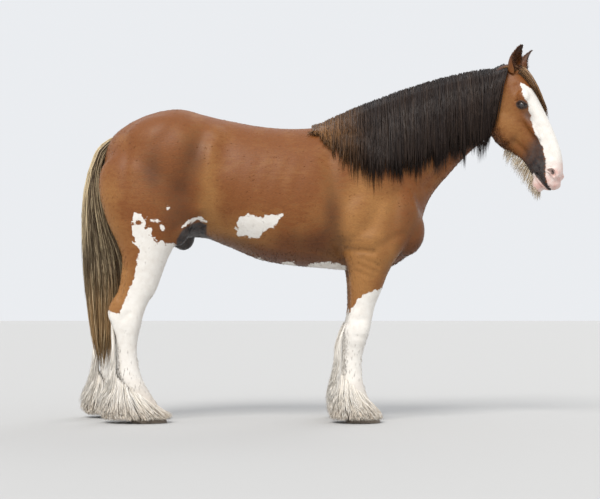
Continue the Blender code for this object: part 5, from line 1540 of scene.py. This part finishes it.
@dataclass
class Coat:
    """Short tufts on every side, most where the coat breaks the form: jaw, belly and backs of the legs.

    A tuft's wide is its least width, and what it gains for each metre of its length.
    """

    horse: Horse
    counts: tuple = (("torso", 13000), ("neck", 5500), ("head", 8500), ("legs", 12500))
    steps: int = 3
    wide: tuple = (0.0012, 0.13)
    sunk: float = 0.0008

    def region(self, name: str, points: Array) -> Array:
        """1 where a point belongs to a named region, 0 elsewhere."""
        on_head = past_throat(points) > 0
        on_neck = ~on_head & (points[:, 0] > 0.45) & (points[:, 2] > 1.25)
        on_legs = ~on_head & ~on_neck & (points[:, 2] < LEG_TOP_Z)
        chosen = {"head": on_head, "neck": on_neck, "legs": on_legs}
        return chosen.get(name, ~on_head & ~on_neck & ~on_legs).astype(float)

    def thickness(self, points: Array, out: Array) -> Array:
        """How thickly tufts stand: most under the body and jaw and behind the legs."""
        face = self.horse.markings.face(points)
        under = ramp(-out[:, 2], 0.1, 0.8)
        behind = ramp(-out[:, 0], 0.3, 0.9)
        edge = ramp(-np.abs(out[:, 1]), -0.6, 0.0)
        jaw = ramp(-face.forward, 0.1, 0.2) * (face.down > 0.05)
        eye = np.sqrt((face.down - 0.27) ** 2 + (face.forward - 0.024) ** 2) < 0.045
        bare = ramp(face.down, 0.62, 0.68) * (face.forward > -0.12) * 0.93
        return face.choose((0.3 + 1.5 * jaw) * (1 - bare) * (1 - eye),
                           0.16 + 0.6 * under + 0.7 * behind + 0.4 * edge)

    def length(self, points: Array) -> Array:
        """How long each tuft is."""
        face = self.horse.markings.face(points)
        z = home(points)[:, 2]
        body = np.where(z < LEG_TOP_Z, 0.014 + 0.02 * ramp(-z, -0.6, -0.3),
                        0.016 + 0.006 * ramp(-z, -1.05, -0.9))
        return face.choose(0.007 + 0.022 * ramp(-face.forward, 0.12, 0.2) * (face.down > 0.1), body)

    def unwrap(self, name: str, points: Array) -> Array:
        """Places on a map of the skin: along the region one way, round it the other, legs side by side."""
        if name == "head":
            local = in_head(points)
            along, round_it = (0.05 - local[:, 2]) / 0.9, np.arctan2(local[:, 1], local[:, 0] + 0.06)
        elif name == "neck":
            axis = unit(np.array((0.8, 0.0, 0.6)))
            along = (points - np.array((0.3, 0, 1.2))) @ axis / 1.05
            across = points[:, 2] * axis[0] - points[:, 0] * axis[2] - 0.8
            round_it = np.arctan2(points[:, 1], across)
        elif name == "legs":
            at = home(points)
            fore = at[:, 0] > -0.4
            middle = np.where(fore, 0.2, -1.07 + 0.25 * (at[:, 2] - 0.5).clip(0, 1))
            middle_y = np.where(fore, FORE_LEG_Y, HIND_LEG_Y)
            turn = np.arctan2(at[:, 1] - middle_y, at[:, 0] - middle) / math.tau + 0.5
            column = fore * 2 + (points[:, 1] > 0)
            return np.stack([(column + 0.02 + 0.96 * turn) / 4, (at[:, 2] / 0.95).clip(0, 1) * 0.99], 1)
        else:
            along = (points[:, 0] + 1.36) / 2.0
            round_it = np.arctan2(points[:, 1], points[:, 2] - 1.38)
        return np.stack([along.clip(0.002, 0.998), round_it / math.tau + 0.5], 1)

    def tufts(self, name: str, count: int, seeds: tuple[int, int]) -> Object:
        """The tufts of one region. Args: name: the region. count: of tufts. seeds: of sizes and places."""
        draw = np.random.default_rng(seeds[0])
        points, out = self.horse.surface.scatter(
            count, lambda at, facing: self.region(name, at) * self.thickness(at, facing) + 1e-12, seeds[1])
        way = unit(lie_of(points, out) + draw.normal(0, 0.1, points.shape))
        length = self.length(points) * draw.uniform(0.7, 1.3, count)
        raised = 0.1 + 0.9 * (self.thickness(points, out) - 0.2).clip(0, 1)
        lift = length * draw.uniform(0.06, 0.22, count) * raised
        t = np.linspace(0, 1, self.steps)[None, :, None]
        path = (points[:, None] - out[:, None] * self.sunk + way[:, None] * length[:, None, None] * t
                + out[:, None] * lift[:, None, None] * np.sin(t * 1.9))
        locks = Locks(path, np.repeat(out[:, None], self.steps, 1), self.wide[0] + self.wide[1] * length,
                      self.unwrap(name, points), thick=0.25, root=0.7)
        piece = locks.build(f"coat_{name}", self.horse.tones(points), self.horse.shift)
        return finish_piece(piece, COAT, "coat")

    def build(self) -> list[Object]:
        """One piece of tufts for each region."""
        return [self.tufts(name, count, (40 + i, 50 + i)) for i, (name, count) in enumerate(self.counts)]


@dataclass
class Ears:
    """Two cupped, pricked ears with a dark rim.

    Attributes:
        base: the middle of the left ear's root in the head's axes, tip its tip, opens the way it opens.
        rings: at shares of its length, half width, half the angle it goes round, and its hollow's share.
        slim: what its width is taken down to, so that it stays inside the solid's.
    """

    horse: Horse
    base: tuple = (0.04, 0.066, -0.065)
    tip: tuple = (0.178, 0.092, 0.058)
    opens: tuple = (0.75, 0.55, -0.6)
    rings: tuple = ((0.0, 0.03, 2.9, 0.15), (0.18, 0.037, 2.7, 0.3), (0.32, 0.041, 2.2, 0.8),
                    (0.5, 0.04, 1.75, 0.9), (0.68, 0.031, 1.45, 0.91), (0.84, 0.02, 1.3, 0.9),
                    (0.95, 0.01, 1.2, 0.85), (1.0, 0.004, 1.1, 0.6))
    slim: float = 0.97
    around: int = 25
    fringe_count: int = 1100
    fringe_steps: int = 4

    def axis(self) -> Array:
        """The way from the ear's root to its tip."""
        return unit(np.array(self.tip) - np.array(self.base))

    def points(self, side: Side, share: Array, turn: Array, hollow: Array) -> Array:
        """Points on an ear. Args: share: along it. turn: -1 to 1 round it. hollow: 0 outside, 1 inside."""
        base, tip, axis, opening = np.array(self.base), np.array(self.tip), self.axis(), np.array(self.opens)
        opening = unit(opening - axis * axis.dot(opening))
        across = np.cross(axis, opening)
        places, *sizes = zip(*self.rings)
        half, reach, inner = (np.interp(share, places, row) for row in sizes)
        half = half * self.slim
        angle = turn * reach
        size = half * (1 - (1 - inner) * hollow)
        bend = np.sin(math.pi * share)
        middle = base + (tip - base) * share[..., None] - opening * (0.012 * bend)[..., None]
        middle = middle + across * (0.006 * bend * share)[..., None]
        round_it = across * np.sin(angle)[..., None] - opening * np.cos(angle)[..., None]
        return moved(middle + size[..., None] * round_it, side_matrix(side))

    def skin(self, side: Side) -> Object:
        """The cupped skin of one ear."""
        turns = np.linspace(-1, 1, self.around)
        rings = []
        for share in np.linspace(0.02, 1, 34) ** 0.9:
            here = np.full(self.around, share)
            outer = self.points(side, here, turns, np.zeros(self.around))
            inner = self.points(side, here, turns[::-1], np.ones(self.around))
            rings.append(np.concatenate([outer, inner]))
        obj = closed_object(f"ear_skin_{side.word}", ring_mesh(np.array(rings)))
        subdivide = obj.modifiers.new("Smooth", "SUBSURF")
        subdivide.levels = subdivide.render_levels = 1
        apply_modifiers(obj)
        co = vertex_array(obj.data)
        values = self.horse.tones(co)
        local = moved(co, side_matrix(side).inverted())
        along = np.clip((local - np.array(self.base)) @ self.axis() / 0.186, 0, 1)
        none = np.zeros(len(co))
        values["tone"] = np.stack([none - 0.05, 0.85 * ramp(along, 0.55, 1.0), none], 1)
        values["shade"] = np.stack([none + 0.15, 0.25 + 0.6 * ramp(along, 0.1, 0.7), none], 1)
        return self.horse.settle(obj, values, COAT, "coat", f"ear_{side.word}")

    def fringe(self, side: Side) -> Object:
        """Fine hair inside one ear and along its rims."""
        draw = np.random.default_rng(60 + side.value)
        n = self.fringe_count
        share = draw.uniform(0.14, 0.95, n)
        rim = draw.random(n) < 0.55
        turn = np.where(rim, np.sign(draw.normal(size=n)) * draw.uniform(0.9, 1.0, n),
                        draw.uniform(-0.9, 0.9, n))
        root = self.points(side, share, turn, draw.uniform(0.3, 1.0, n))
        at = side_matrix(side)
        axis = np.array(at.to_3x3() @ (Vector(self.tip) - Vector(self.base)).normalized())
        opening = np.array(at.to_3x3() @ Vector(self.opens).normalized())
        way = unit(axis * 0.8 + opening * draw.uniform(0.1, 0.8, (n, 1)) + draw.normal(0, 0.15, (n, 3)))
        length = (0.01 + 0.022 * (1 - share)) * draw.uniform(0.6, 1.2, n)
        t = np.linspace(0, 1, self.fringe_steps)[None, :, None]
        path = root[:, None] + way[:, None] * length[:, None, None] * t - opening * 0.004 * t ** 2
        out = np.broadcast_to(opening + draw.normal(0, 0.3, (n, 1, 3)), path.shape)
        colour = towards(EAR_DARK, EAR_BROWN, draw.random(n))
        place = np.stack([0.005 + 0.99 * share, 0.5 + 0.49 * turn], 1)
        locks = Locks(path, unit(out), draw.uniform(0.0012, 0.0026, n), place)
        piece = locks.build(f"ear_fringe_{side.word}", {"tint": colour}, self.horse.shift)
        return finish_piece(piece, LONG_DARK, "coat")

    def build(self) -> list[Object]:
        """Both ears, each of skin with fine hair at its rim and inside."""
        return [piece for side in Side for piece in (self.skin(side), self.fringe(side))]


@dataclass
class Eyes:
    """Two dark eyes, set deep, with lids and lashes.

    Attributes:
        looks: the way the left eye faces, in the head's axes.
        cornea: where its edge stands, as a cosine, and how far it bulges against the radius.
        lid: half the thickness of a lid's edge, with lid_points along its ring and round it.
    """

    horse: Horse
    radius: float = EYE_RADIUS - 0.0005
    looks: tuple = (0.22, 0.97, 0.02)
    cornea: tuple = (0.8, 0.035)
    lid: float = 0.003
    lid_points: tuple = (72, 10)
    lash_count: int = 110
    lash_steps: int = 5
    lash_length: tuple = (0.01, 0.02)
    lash_wide: float = 0.0011

    def build(self) -> list[Object]:
        """Both eyeballs, lids and lashes."""
        return [make(side) for side in Side for make in (self.ball, self.lids, self.lashes)]

    def ball(self, side: Side) -> Object:
        """One eyeball with its bulging cornea."""
        bm = bmesh.new()
        bmesh.ops.create_icosphere(bm, subdivisions=5, radius=1)
        look = Vector(self.looks).normalized()
        edge, bulge = self.cornea
        for vert in bm.verts:
            near = max(0.0, vert.co.normalized().dot(look) - edge) / (1 - edge)
            vert.co *= self.radius * (1 + bulge * near * (2 - near))
        obj = closed_object(f"eyeball_{side.word}", bm)
        co = vertex_array(obj.data)
        u, v = turned(co[:, 0], co[:, 2], EYE_SLANT)
        aim = np.arccos(np.clip(unit(co) @ np.array(look), -1, 1))
        keep_values(obj.data, "gaze", np.stack([u - self.radius * 0.2, v, aim], 1))
        obj.data.transform(side_matrix(side) @ Matrix.Translation(EYE_AT))
        if side is Side.RIGHT:
            obj.data.flip_normals()
        return self.horse.settle(obj, {}, EYE, "eye", f"eye_{side.word}")

    def rim(self, turn: Array) -> Array:
        """Points on the edge of the opening between the lids, in the head's axes for the left side."""
        long, upper, lower = LID_OPENING
        u = -np.cos(turn) * long
        height = np.where(np.sin(turn) > 0, upper, lower)
        v = np.sin(turn) * np.abs(np.sin(turn)) ** 0.5 * height
        dx, dz = turned(u, v, -EYE_SLANT)
        over = self.radius + 0.0022
        dy = np.sqrt(np.maximum(over ** 2 - u ** 2 - v ** 2, 0.0105 ** 2))
        return np.stack([EYE_AT[0] + dx, EYE_AT[1] + dy, EYE_AT[2] + dz], -1)

    def lids(self, side: Side) -> Object:
        """The thick dark edges of the lids, as one ring."""
        count, sides = self.lid_points
        turn = np.linspace(0, math.tau, count, endpoint=False)
        line = self.rim(turn)
        along = unit(np.roll(line, -1, 0) - np.roll(line, 1, 0))
        out = unit(line - np.array(EYE_AT) - np.array((0, -0.01, 0)))
        across = np.cross(along, out)
        size = self.lid * (1 + 0.35 * np.sin(turn).clip(0, 1))
        around = (np.arange(sides) * math.tau / sides)[None, :, None]
        rings = line[:, None] + size[:, None, None] * (across[:, None] * np.cos(around) * 1.5
                                                       + out[:, None] * np.sin(around))
        bm = ring_mesh(rings, closed=True)
        bmesh.ops.transform(bm, matrix=side_matrix(side), verts=bm.verts)
        obj = closed_object(f"lids_{side.word}", bm)
        co = vertex_array(obj.data)
        values = self.horse.tones(co)
        values["tone"] = np.tile((-0.05, 0.95, 0.0), (len(co), 1))
        return self.horse.settle(obj, values, COAT, "coat")

    def lashes(self, side: Side) -> Object:
        """Lashes along the upper lid."""
        draw = np.random.default_rng(70 + side.value)
        n = self.lash_count
        turn = draw.uniform(0.25, 2.7, n)
        root = self.rim(turn)
        out = unit(root - np.array(EYE_AT))
        t = np.linspace(0, 1, self.lash_steps)[None, :, None]
        length = draw.uniform(*self.lash_length, (n, 1, 1))
        way = out + np.array((0.15, 0.5, 0.1)) + draw.normal(0, 0.12, (n, 3))
        path = root[:, None] + unit(way)[:, None] * length * t + np.array((0.1, 0, -0.55)) * length * t ** 2
        path = moved(path, side_matrix(side))
        facing = np.array(side_matrix(side).to_3x3() @ Vector((0.2, 0.3, 1)).normalized())
        place = np.stack([turn / math.tau, draw.random(n)], 1) * 0.99
        locks = Locks(path, np.broadcast_to(facing, path.shape), np.full(n, self.lash_wide), place)
        tint = {"tint": np.tile(MANE_DARK, (n, 1))}
        piece = locks.build(f"lashes_{side.word}", tint, self.horse.shift)
        return finish_piece(piece, LONG_DARK, "mane_hair")


@dataclass
class Hooves:
    """Four hooves with their rings of growth, given by how high they are and how far apart."""

    horse: Horse
    sides: int = 72
    steps: int = 14
    growth: tuple = (0.001, 0.011)
    inside: float = 0.001
    top: float = 0.098

    def hoof(self, end: End, side: Side) -> Object:
        """One hoof."""
        form = Form(FORE_HOOF if end is End.FORE else HIND_HOOF)
        bm = form.loft(self.sides, self.steps, side, leg_shift(end, side))
        obj = closed_object(f"hoof_horn_{end.value}_{side.word}", bm)
        co, out = vertex_array(obj.data), normal_array(obj.data)
        high, apart = self.growth
        x, _, z = co.T
        waves = high * np.sin(z * math.tau / apart + 2 * np.sin(x * 20)) * ramp(z, 0, 0.02)
        co = co + out * waves[:, None] * np.array((1, 1, 0)) - out * np.array((self.inside, self.inside, 0))
        co[:, 2] = np.minimum(co[:, 2], self.top)
        set_vertices(obj.data, co)
        self.horse.settle(obj, {"place": co}, HORN, "horn", f"hoof_{end.value}_{side.word}")
        obj.data.set_sharp_from_angle(angle=math.radians(50))
        return obj

    def build(self) -> list[Object]:
        """The four hooves."""
        return [self.hoof(end, side) for end in End for side in Side]


class Wire:
    """A node's output that Python's operators work on: Math nodes for numbers, Vector Math for vectors."""

    def __init__(self, paint: "Paint", socket: bpy.types.NodeSocket) -> None:
        """Args: paint: the material it is in. socket: the output."""
        self.paint = paint
        self.socket = socket

    def _maths(self, operation: str, first: "Wire | float", second: "Wire | float") -> "Wire":
        """The result of a Math or Vector Math node."""
        vectors = [v for v in (first, second) if isinstance(v, Wire) and v.socket.type == "VECTOR"]
        kind = "VectorMath" if vectors else "Math"
        return self.paint.node(kind, {"operation": operation}, {0: first, 1: second})

    def __add__(self, other: "Wire | float") -> "Wire":
        """self + other."""
        return self._maths("ADD", self, other)

    def __radd__(self, other: float) -> "Wire":
        """other + self."""
        return self._maths("ADD", other, self)

    def __sub__(self, other: "Wire | float") -> "Wire":
        """self - other."""
        return self._maths("SUBTRACT", self, other)

    def __rsub__(self, other: float) -> "Wire":
        """other - self."""
        return self._maths("SUBTRACT", other, self)

    def __mul__(self, other: "Wire | float | tuple") -> "Wire":
        """self * other."""
        return self._maths("MULTIPLY", self, other)

    def __rmul__(self, other: float) -> "Wire":
        """other * self."""
        return self._maths("MULTIPLY", other, self)

    def __truediv__(self, other: "Wire | float") -> "Wire":
        """self / other."""
        return self._maths("DIVIDE", self, other)

    def __rtruediv__(self, other: float) -> "Wire":
        """other / self."""
        return self._maths("DIVIDE", other, self)

    def limited(self) -> "Wire":
        """The value kept between 0 and 1."""
        return self.paint.node("Clamp", {}, {0: self})


class Paint:
    """The nodes of one material."""

    def __init__(self, name: str) -> None:
        """Args: name: of the material."""
        self.material = bpy.data.materials.new(name)
        self.material.use_nodes = True
        self.tree = self.material.node_tree
        self.shader = self.tree.nodes["Principled BSDF"]

    def node(self, kind: str, settings: dict, inputs: dict, output: str | int = 0) -> Wire:
        """Adds a node.

        Args:
            kind: its type, without "ShaderNode" before it.
            settings: its own choices, set before its sockets.
            inputs: a number, tuple or Wire for each socket, by name or place.
            output: which output is wanted.

        Returns:
            The output.
        """
        made = self.tree.nodes.new("ShaderNode" + kind)
        for key, value in settings.items():
            setattr(made, key, value)
        for key, value in inputs.items():
            self.put(made.inputs[key], value)
        return Wire(self, made.outputs[output])

    def put(self, socket: bpy.types.NodeSocket, value: "Wire | float | tuple") -> None:
        """Links or sets a socket."""
        if isinstance(value, Wire):
            self.tree.links.new(value.socket, socket)
        elif socket.type == "VECTOR" and not isinstance(value, tuple):
            socket.default_value = (value,) * 3
        elif socket.type == "RGBA":
            socket.default_value = (*value, 1)
        else:
            socket.default_value = value

    def read(self, name: str) -> Wire:
        """The three numbers that each vertex keeps under a name, as a vector."""
        return self.node("Attribute", {"attribute_name": name}, {}, "Vector")

    def parts(self, vector: Wire) -> tuple[Wire, Wire, Wire]:
        """A vector's three numbers."""
        split = self.node("SeparateXYZ", {}, {0: vector}).socket.node
        return tuple(Wire(self, out) for out in split.outputs)

    def noise(self, vector: Wire, scale: float, detail: float = 3.0) -> Wire:
        """A smooth random value, about 0 to 1."""
        return self.node("TexNoise", {}, {"Vector": vector, "Scale": scale, "Detail": detail}, "Fac")

    def mix(self, share: "Wire | float", first: "Wire | Colour", second: "Wire | Colour",
            blend: str = "MIX") -> Wire:
        """A colour from first towards second."""
        return self.node("Mix", {"data_type": "RGBA", "blend_type": blend},
                         {0: share, 6: first, 7: second}, 2)

    def bump(self, height: Wire, strength: float, distance: float) -> Wire:
        """A Normal from a height."""
        return self.node("Bump", {}, {"Strength": strength, "Distance": distance, "Height": height})

    def finish(self, sockets: dict) -> bpy.types.Material:
        """Sets the shader's sockets. Args: sockets: by name. Returns: the material."""
        for key, value in sockets.items():
            self.put(self.shader.inputs[key], value)
        return self.material


BAY_RED = (0.178, 0.06, 0.014)
BAY_GOLD = (0.29, 0.135, 0.04)
# Darker bay, also the colour of painted shade in the hollows and under the body
BAY_DARK_AND_SHADE = (0.036, 0.012, 0.006)
WHITE_HAIR = (0.84, 0.81, 0.76)
WHITE_STAIN = (0.46, 0.36, 0.27)
# Grey skin and hair, also the colour of painted shade in front of and between the thighs and behind the jaw
GREY_SKIN_AND_SHADE = (0.026, 0.022, 0.023)
GREY_HAIR_AND_SHADE = (0.075, 0.064, 0.06)
PINK_SKIN = (0.66, 0.36, 0.31)
MANE_DARK = (0.012, 0.007, 0.006)
MANE_LIGHT = (0.05, 0.032, 0.023)
MANE_TIP = (0.05, 0.03, 0.02)
FORELOCK_GOLD = (0.52, 0.3, 0.13)
FORELOCK_TIP = (0.21, 0.1, 0.042)
TAIL_DARK = (0.075, 0.05, 0.028)
TAIL_CREAM = (0.74, 0.6, 0.38)
TAIL_LOW = (0.42, 0.25, 0.105)
FEATHER_WHITE = (0.93, 0.9, 0.85)
FEATHER_CREAM = (0.86, 0.8, 0.71)
FEATHER_STAIN = (0.62, 0.5, 0.37)
BEARD_PALE = (0.84, 0.77, 0.63)
BEARD_BROWN = (0.54, 0.4, 0.26)
EAR_DARK = (0.03, 0.015, 0.01)
EAR_BROWN = (0.18, 0.075, 0.032)


@dataclass(frozen=True)
class CoatFinish:
    """Short bay and white hair over skin, with its grey and pink places and painted shade."""

    name: str = "short_coat"
    roughness: float = 0.44

    def material(self) -> bpy.types.Material:
        """The material of skin and tufts."""
        p = Paint(self.name)
        place = p.read("place")
        white, dark, pink = p.parts(p.read("tone"))
        golden, deep, low = p.parts(p.read("shade"))
        broad, mottle = p.noise(place, 5.0, 2), p.noise(place, 28.0, 4)
        fine = p.noise(place, 240.0, 3)
        streaks = p.noise(place * (15.0, 75.0, 62.0), 1.0, 4)
        along_body = p.noise(place * (70.0, 420.0, 330.0), 1.0, 2)
        down_leg = p.noise(place * (420.0, 420.0, 60.0), 1.0, 2)
        height = p.parts(place)[2]
        on_leg = (((1.05 - height) * 6.0).limited())
        hairs = along_body + (down_leg - along_body) * on_leg
        bay = p.mix((golden + (broad - 0.5) * 0.8 + (streaks - 0.5) * 1.1).limited(), BAY_RED, BAY_GOLD)
        # Darker bay and painted shade, by the deep share
        bay = p.mix((deep * 0.85 + (streaks - 0.55) * 0.7).limited(), bay, BAY_DARK_AND_SHADE)
        bay = p.mix(0.55, bay, p.mix(hairs, (0.25, 0.22, 0.2), (1.0, 0.98, 0.95)), "OVERLAY")
        edge = p.noise(place, 55.0, 4) - 0.5
        # Grey skin and hair, and painted shade, by the dark share
        grey_and_shade_share = (dark + edge * 0.8 * dark).limited()
        snow = p.mix(((mottle - 0.35) * 0.5).limited(), WHITE_HAIR, WHITE_STAIN)
        snow = p.mix((low * (fine + 0.25)).limited() * 0.85, snow, WHITE_STAIN)
        snow = p.mix((pink * (0.6 + (mottle - 0.5) * 1.2)).limited(), snow, PINK_SKIN)
        is_white = ((white + edge * 0.02 + (hairs - 0.5) * 0.01) / 0.005 + 0.5).limited()
        colour = p.mix(is_white, bay, snow)
        grey = p.mix(((mottle - 0.35) * 2.2 + (fine - 0.5)).limited(), GREY_SKIN_AND_SHADE, GREY_HAIR_AND_SHADE)
        colour = p.mix(grey_and_shade_share, colour, grey)
        rough = self.roughness + is_white * 0.22 + (fine - 0.5) * 0.16
        normal = p.bump(hairs * 0.8 + fine * 0.5, 0.6, 0.002)
        return p.finish({"Base Color": colour, "Roughness": rough.limited(), "Normal": normal,
                         "Specular IOR Level": 0.28})


@dataclass(frozen=True)
class HairFinish:
    """Long hair, with a colour kept by each lock."""

    name: str
    roughness: float
    contrast: float

    def material(self) -> bpy.types.Material:
        """The material of the long hair."""
        p = Paint(self.name)
        tint = p.read("tint")
        random, along, aside = p.parts(p.read("strand"))
        fibres = p.noise(p.node("CombineXYZ", {}, {0: aside * 9.0 + random * 40.0, 1: along * 1.5,
                                                           2: random * 17.0}), 1.0, 3)
        share = (fibres * self.contrast + (1 - self.contrast) * 0.5).limited()
        light = p.mix(share, (0.12, 0.11, 0.1), (0.92, 0.9, 0.88))
        colour = p.mix(self.contrast * 0.8, tint, light, "OVERLAY")
        return p.finish({"Base Color": colour, "Roughness": (self.roughness + (fibres - 0.5) * 0.3).limited(),
                         "Normal": p.bump(fibres, 0.3, 0.001), "Specular IOR Level": 0.3})


@dataclass(frozen=True)
class HornFinish:
    """Hoof horn: brown grey, streaked from top to bottom, with darker rings."""

    name: str = "hoof_horn"

    def material(self) -> bpy.types.Material:
        """The material of a hoof."""
        p = Paint(self.name)
        place = p.read("place")
        streaks = p.noise(place * (240.0, 240.0, 14.0), 1.0, 3)
        rings = p.noise(place * (4.0, 4.0, 130.0), 1.0, 2)
        colour = p.mix(streaks, (0.085, 0.062, 0.046), (0.34, 0.27, 0.2))
        colour = p.mix((rings * 0.5).limited(), colour, (0.12, 0.1, 0.08))
        return p.finish({"Base Color": colour, "Roughness": 0.42 + streaks * 0.2,
                         "Normal": p.bump(streaks + rings, 0.4, 0.0012)})


@dataclass(frozen=True)
class EyeFinish:
    """A dark brown eye with a long level pupil."""

    name: str = "eye_cornea"

    def material(self) -> bpy.types.Material:
        """The material of an eyeball."""
        p = Paint(self.name)
        u, v, aim = p.parts(p.read("gaze"))
        rays = p.noise(p.read("gaze") * (260.0, 260.0, 20.0), 1.0, 2)
        oval = u * u / (0.0085 ** 2) + v * v / (0.0045 ** 2)
        iris = ((0.95 - aim) * 14.0).limited()
        pupil = ((1.0 - oval) * 4.0).limited()
        colour = p.mix(rays, (0.01, 0.005, 0.003), (0.04, 0.018, 0.009))
        colour = p.mix(iris, (0.06, 0.042, 0.036), colour)
        colour = p.mix(pupil, colour, (0.003, 0.004, 0.007))
        return p.finish({"Base Color": colour, "Roughness": 0.06, "Specular IOR Level": 0.6,
                         "Coat Weight": 1.0, "Coat Roughness": 0.02})


@dataclass(frozen=True)
class FloorFinish:
    """A plain pale floor."""

    name: str = "pale_floor"

    def material(self) -> bpy.types.Material:
        """The material of the floor."""
        p = Paint(self.name)
        return p.finish({"Base Color": (0.5, 0.5, 0.495), "Roughness": 0.85})


COAT = CoatFinish()
LONG_DARK = HairFinish("long_dark_hair", 0.42, 0.9)
LONG_PALE = HairFinish("tail_hair", 0.48, 0.8)
LONG_WHITE = HairFinish("long_white_hair", 0.6, 0.45)
HORN = HornFinish()
EYE = EyeFinish()
FLOOR = FloorFinish()
MADE: dict[str, bpy.types.Material] = {}


def dress(obj: Object, finish: object) -> None:
    """Gives an object its finish, made once for all that share it."""
    if finish.name not in MADE:
        MADE[finish.name] = finish.material()
    obj.data.materials.clear()
    obj.data.materials.append(MADE[finish.name])


def finish_piece(obj: Object, finish: object, slot: str, *nodes: str) -> Object:
    """Dresses a piece, sets it on the body and hides the solids that it stands for.

    Args:
        obj: the piece.
        finish: its finish.
        slot: not used.
        nodes: the solids that it replaces.

    Returns:
        The piece.
    """
    dress(obj, finish)
    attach(obj, "root")
    if nodes:
        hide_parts(*nodes)
    return obj


@dataclass
class Studio:
    """The floor, soft light and the camera at the photograph's place."""

    camera_at: tuple = (-0.126, -7.5, 0.6)
    camera_pitch: float = math.radians(3.182)
    lens: float = 75.0
    floor: float = 400.0
    sky: Colour = (0.9, 0.92, 0.95)
    sky_power: float = 0.92
    key_from: tuple = (-0.42, -1.0, 1.2)
    key_power: float = 2.25
    key_spread: float = math.radians(28)
    rim_from: tuple = (0.6, 1.0, 0.9)
    rim_power: float = 0.45
    rim_spread: float = math.radians(30)

    def build(self, shift: Array) -> None:
        """Sets the stage. Args: shift: how far the animal was moved."""
        scene = bpy.context.scene
        bm = bmesh.new()
        bmesh.ops.create_circle(bm, cap_ends=True, radius=self.floor, segments=96)
        mesh = bpy.data.meshes.new("floor")
        bm.to_mesh(mesh)
        bm.free()
        floor = new_object("floor", mesh)
        floor.location.z = -0.001
        dress(floor, FLOOR)
        world = bpy.data.worlds.new("studio")
        world.use_nodes = True
        background = world.node_tree.nodes["Background"]
        background.inputs[0].default_value = (*self.sky, 1)
        background.inputs[1].default_value = self.sky_power
        scene.world = world
        self.sun("key", self.key_from, self.key_power, self.key_spread, (1.0, 0.965, 0.92))
        self.sun("rim", self.rim_from, self.rim_power, self.rim_spread, (1.0, 1.0, 1.0))
        lens = bpy.data.cameras.new("camera")
        lens.lens, lens.sensor_width = self.lens, 36.0
        camera = bpy.data.objects.new("camera", lens)
        camera.location = Vector(self.camera_at) + Vector(shift)
        camera.rotation_euler = (math.radians(90) + self.camera_pitch, 0, 0)
        scene.collection.objects.link(camera)
        scene.camera = camera
        scene.view_settings.view_transform = "Standard"

    def sun(self, name: str, come_from: tuple, power: float, spread: float, colour: Colour) -> None:
        """A soft light that is even over the floor.

        Args:
            name: of the light.
            come_from: the way it comes from.
            power: its strength.
            spread: how wide it looks, as an angle.
            colour: of its light.
        """
        light = bpy.data.lights.new(name, "SUN")
        light.energy, light.angle, light.color = power, spread, colour
        obj = bpy.data.objects.new(name, light)
        obj.rotation_euler = Vector(come_from).to_track_quat("Z", "Y").to_euler()
        bpy.context.scene.collection.objects.link(obj)


FLESH_NODES = ["head", "neck", "torso"] + [f"{part}_{side.word}" for side in Side for part in (
    "forearm", "gaskin", "cannon_fore", "cannon_hind")]


def build_horse() -> Horse:
    """The skin, finished, and what the other pieces are built on."""
    skin = Skin().build()
    low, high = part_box("hoof_fore_right")
    middle = (low + high) / 2
    shift = np.array((middle.x, middle.y, low.z)) - np.array(FORE_HOOF_MIDDLE)
    horse = Horse(skin, Surface(skin), Markings(), shift)
    horse.settle(skin, horse.tones(horse.surface.co), COAT, "coat", *FLESH_NODES)
    return horse


def main() -> None:
    """Builds the animal piece by piece, then the studio."""
    logging.basicConfig(level=logging.INFO, format="%(message)s")
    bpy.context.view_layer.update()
    horse = build_horse()
    logging.info("skin: %d faces", len(horse.skin.data.polygons))
    makers = [Eyes(horse), Ears(horse), Hooves(horse), Coat(horse), Mane(horse), Forelock(horse), Tail(horse),
              *[Feather(horse, end=end, side=side) for end in End for side in Side], Beard(horse)]
    for maker in makers:
        for piece in maker.build():
            triangles = sum(len(face.vertices) - 2 for face in piece.data.polygons)
            logging.info("%s: %d triangles", piece.name, triangles)
    Studio().build(horse.shift)


if __name__ == "__main__":
    main()
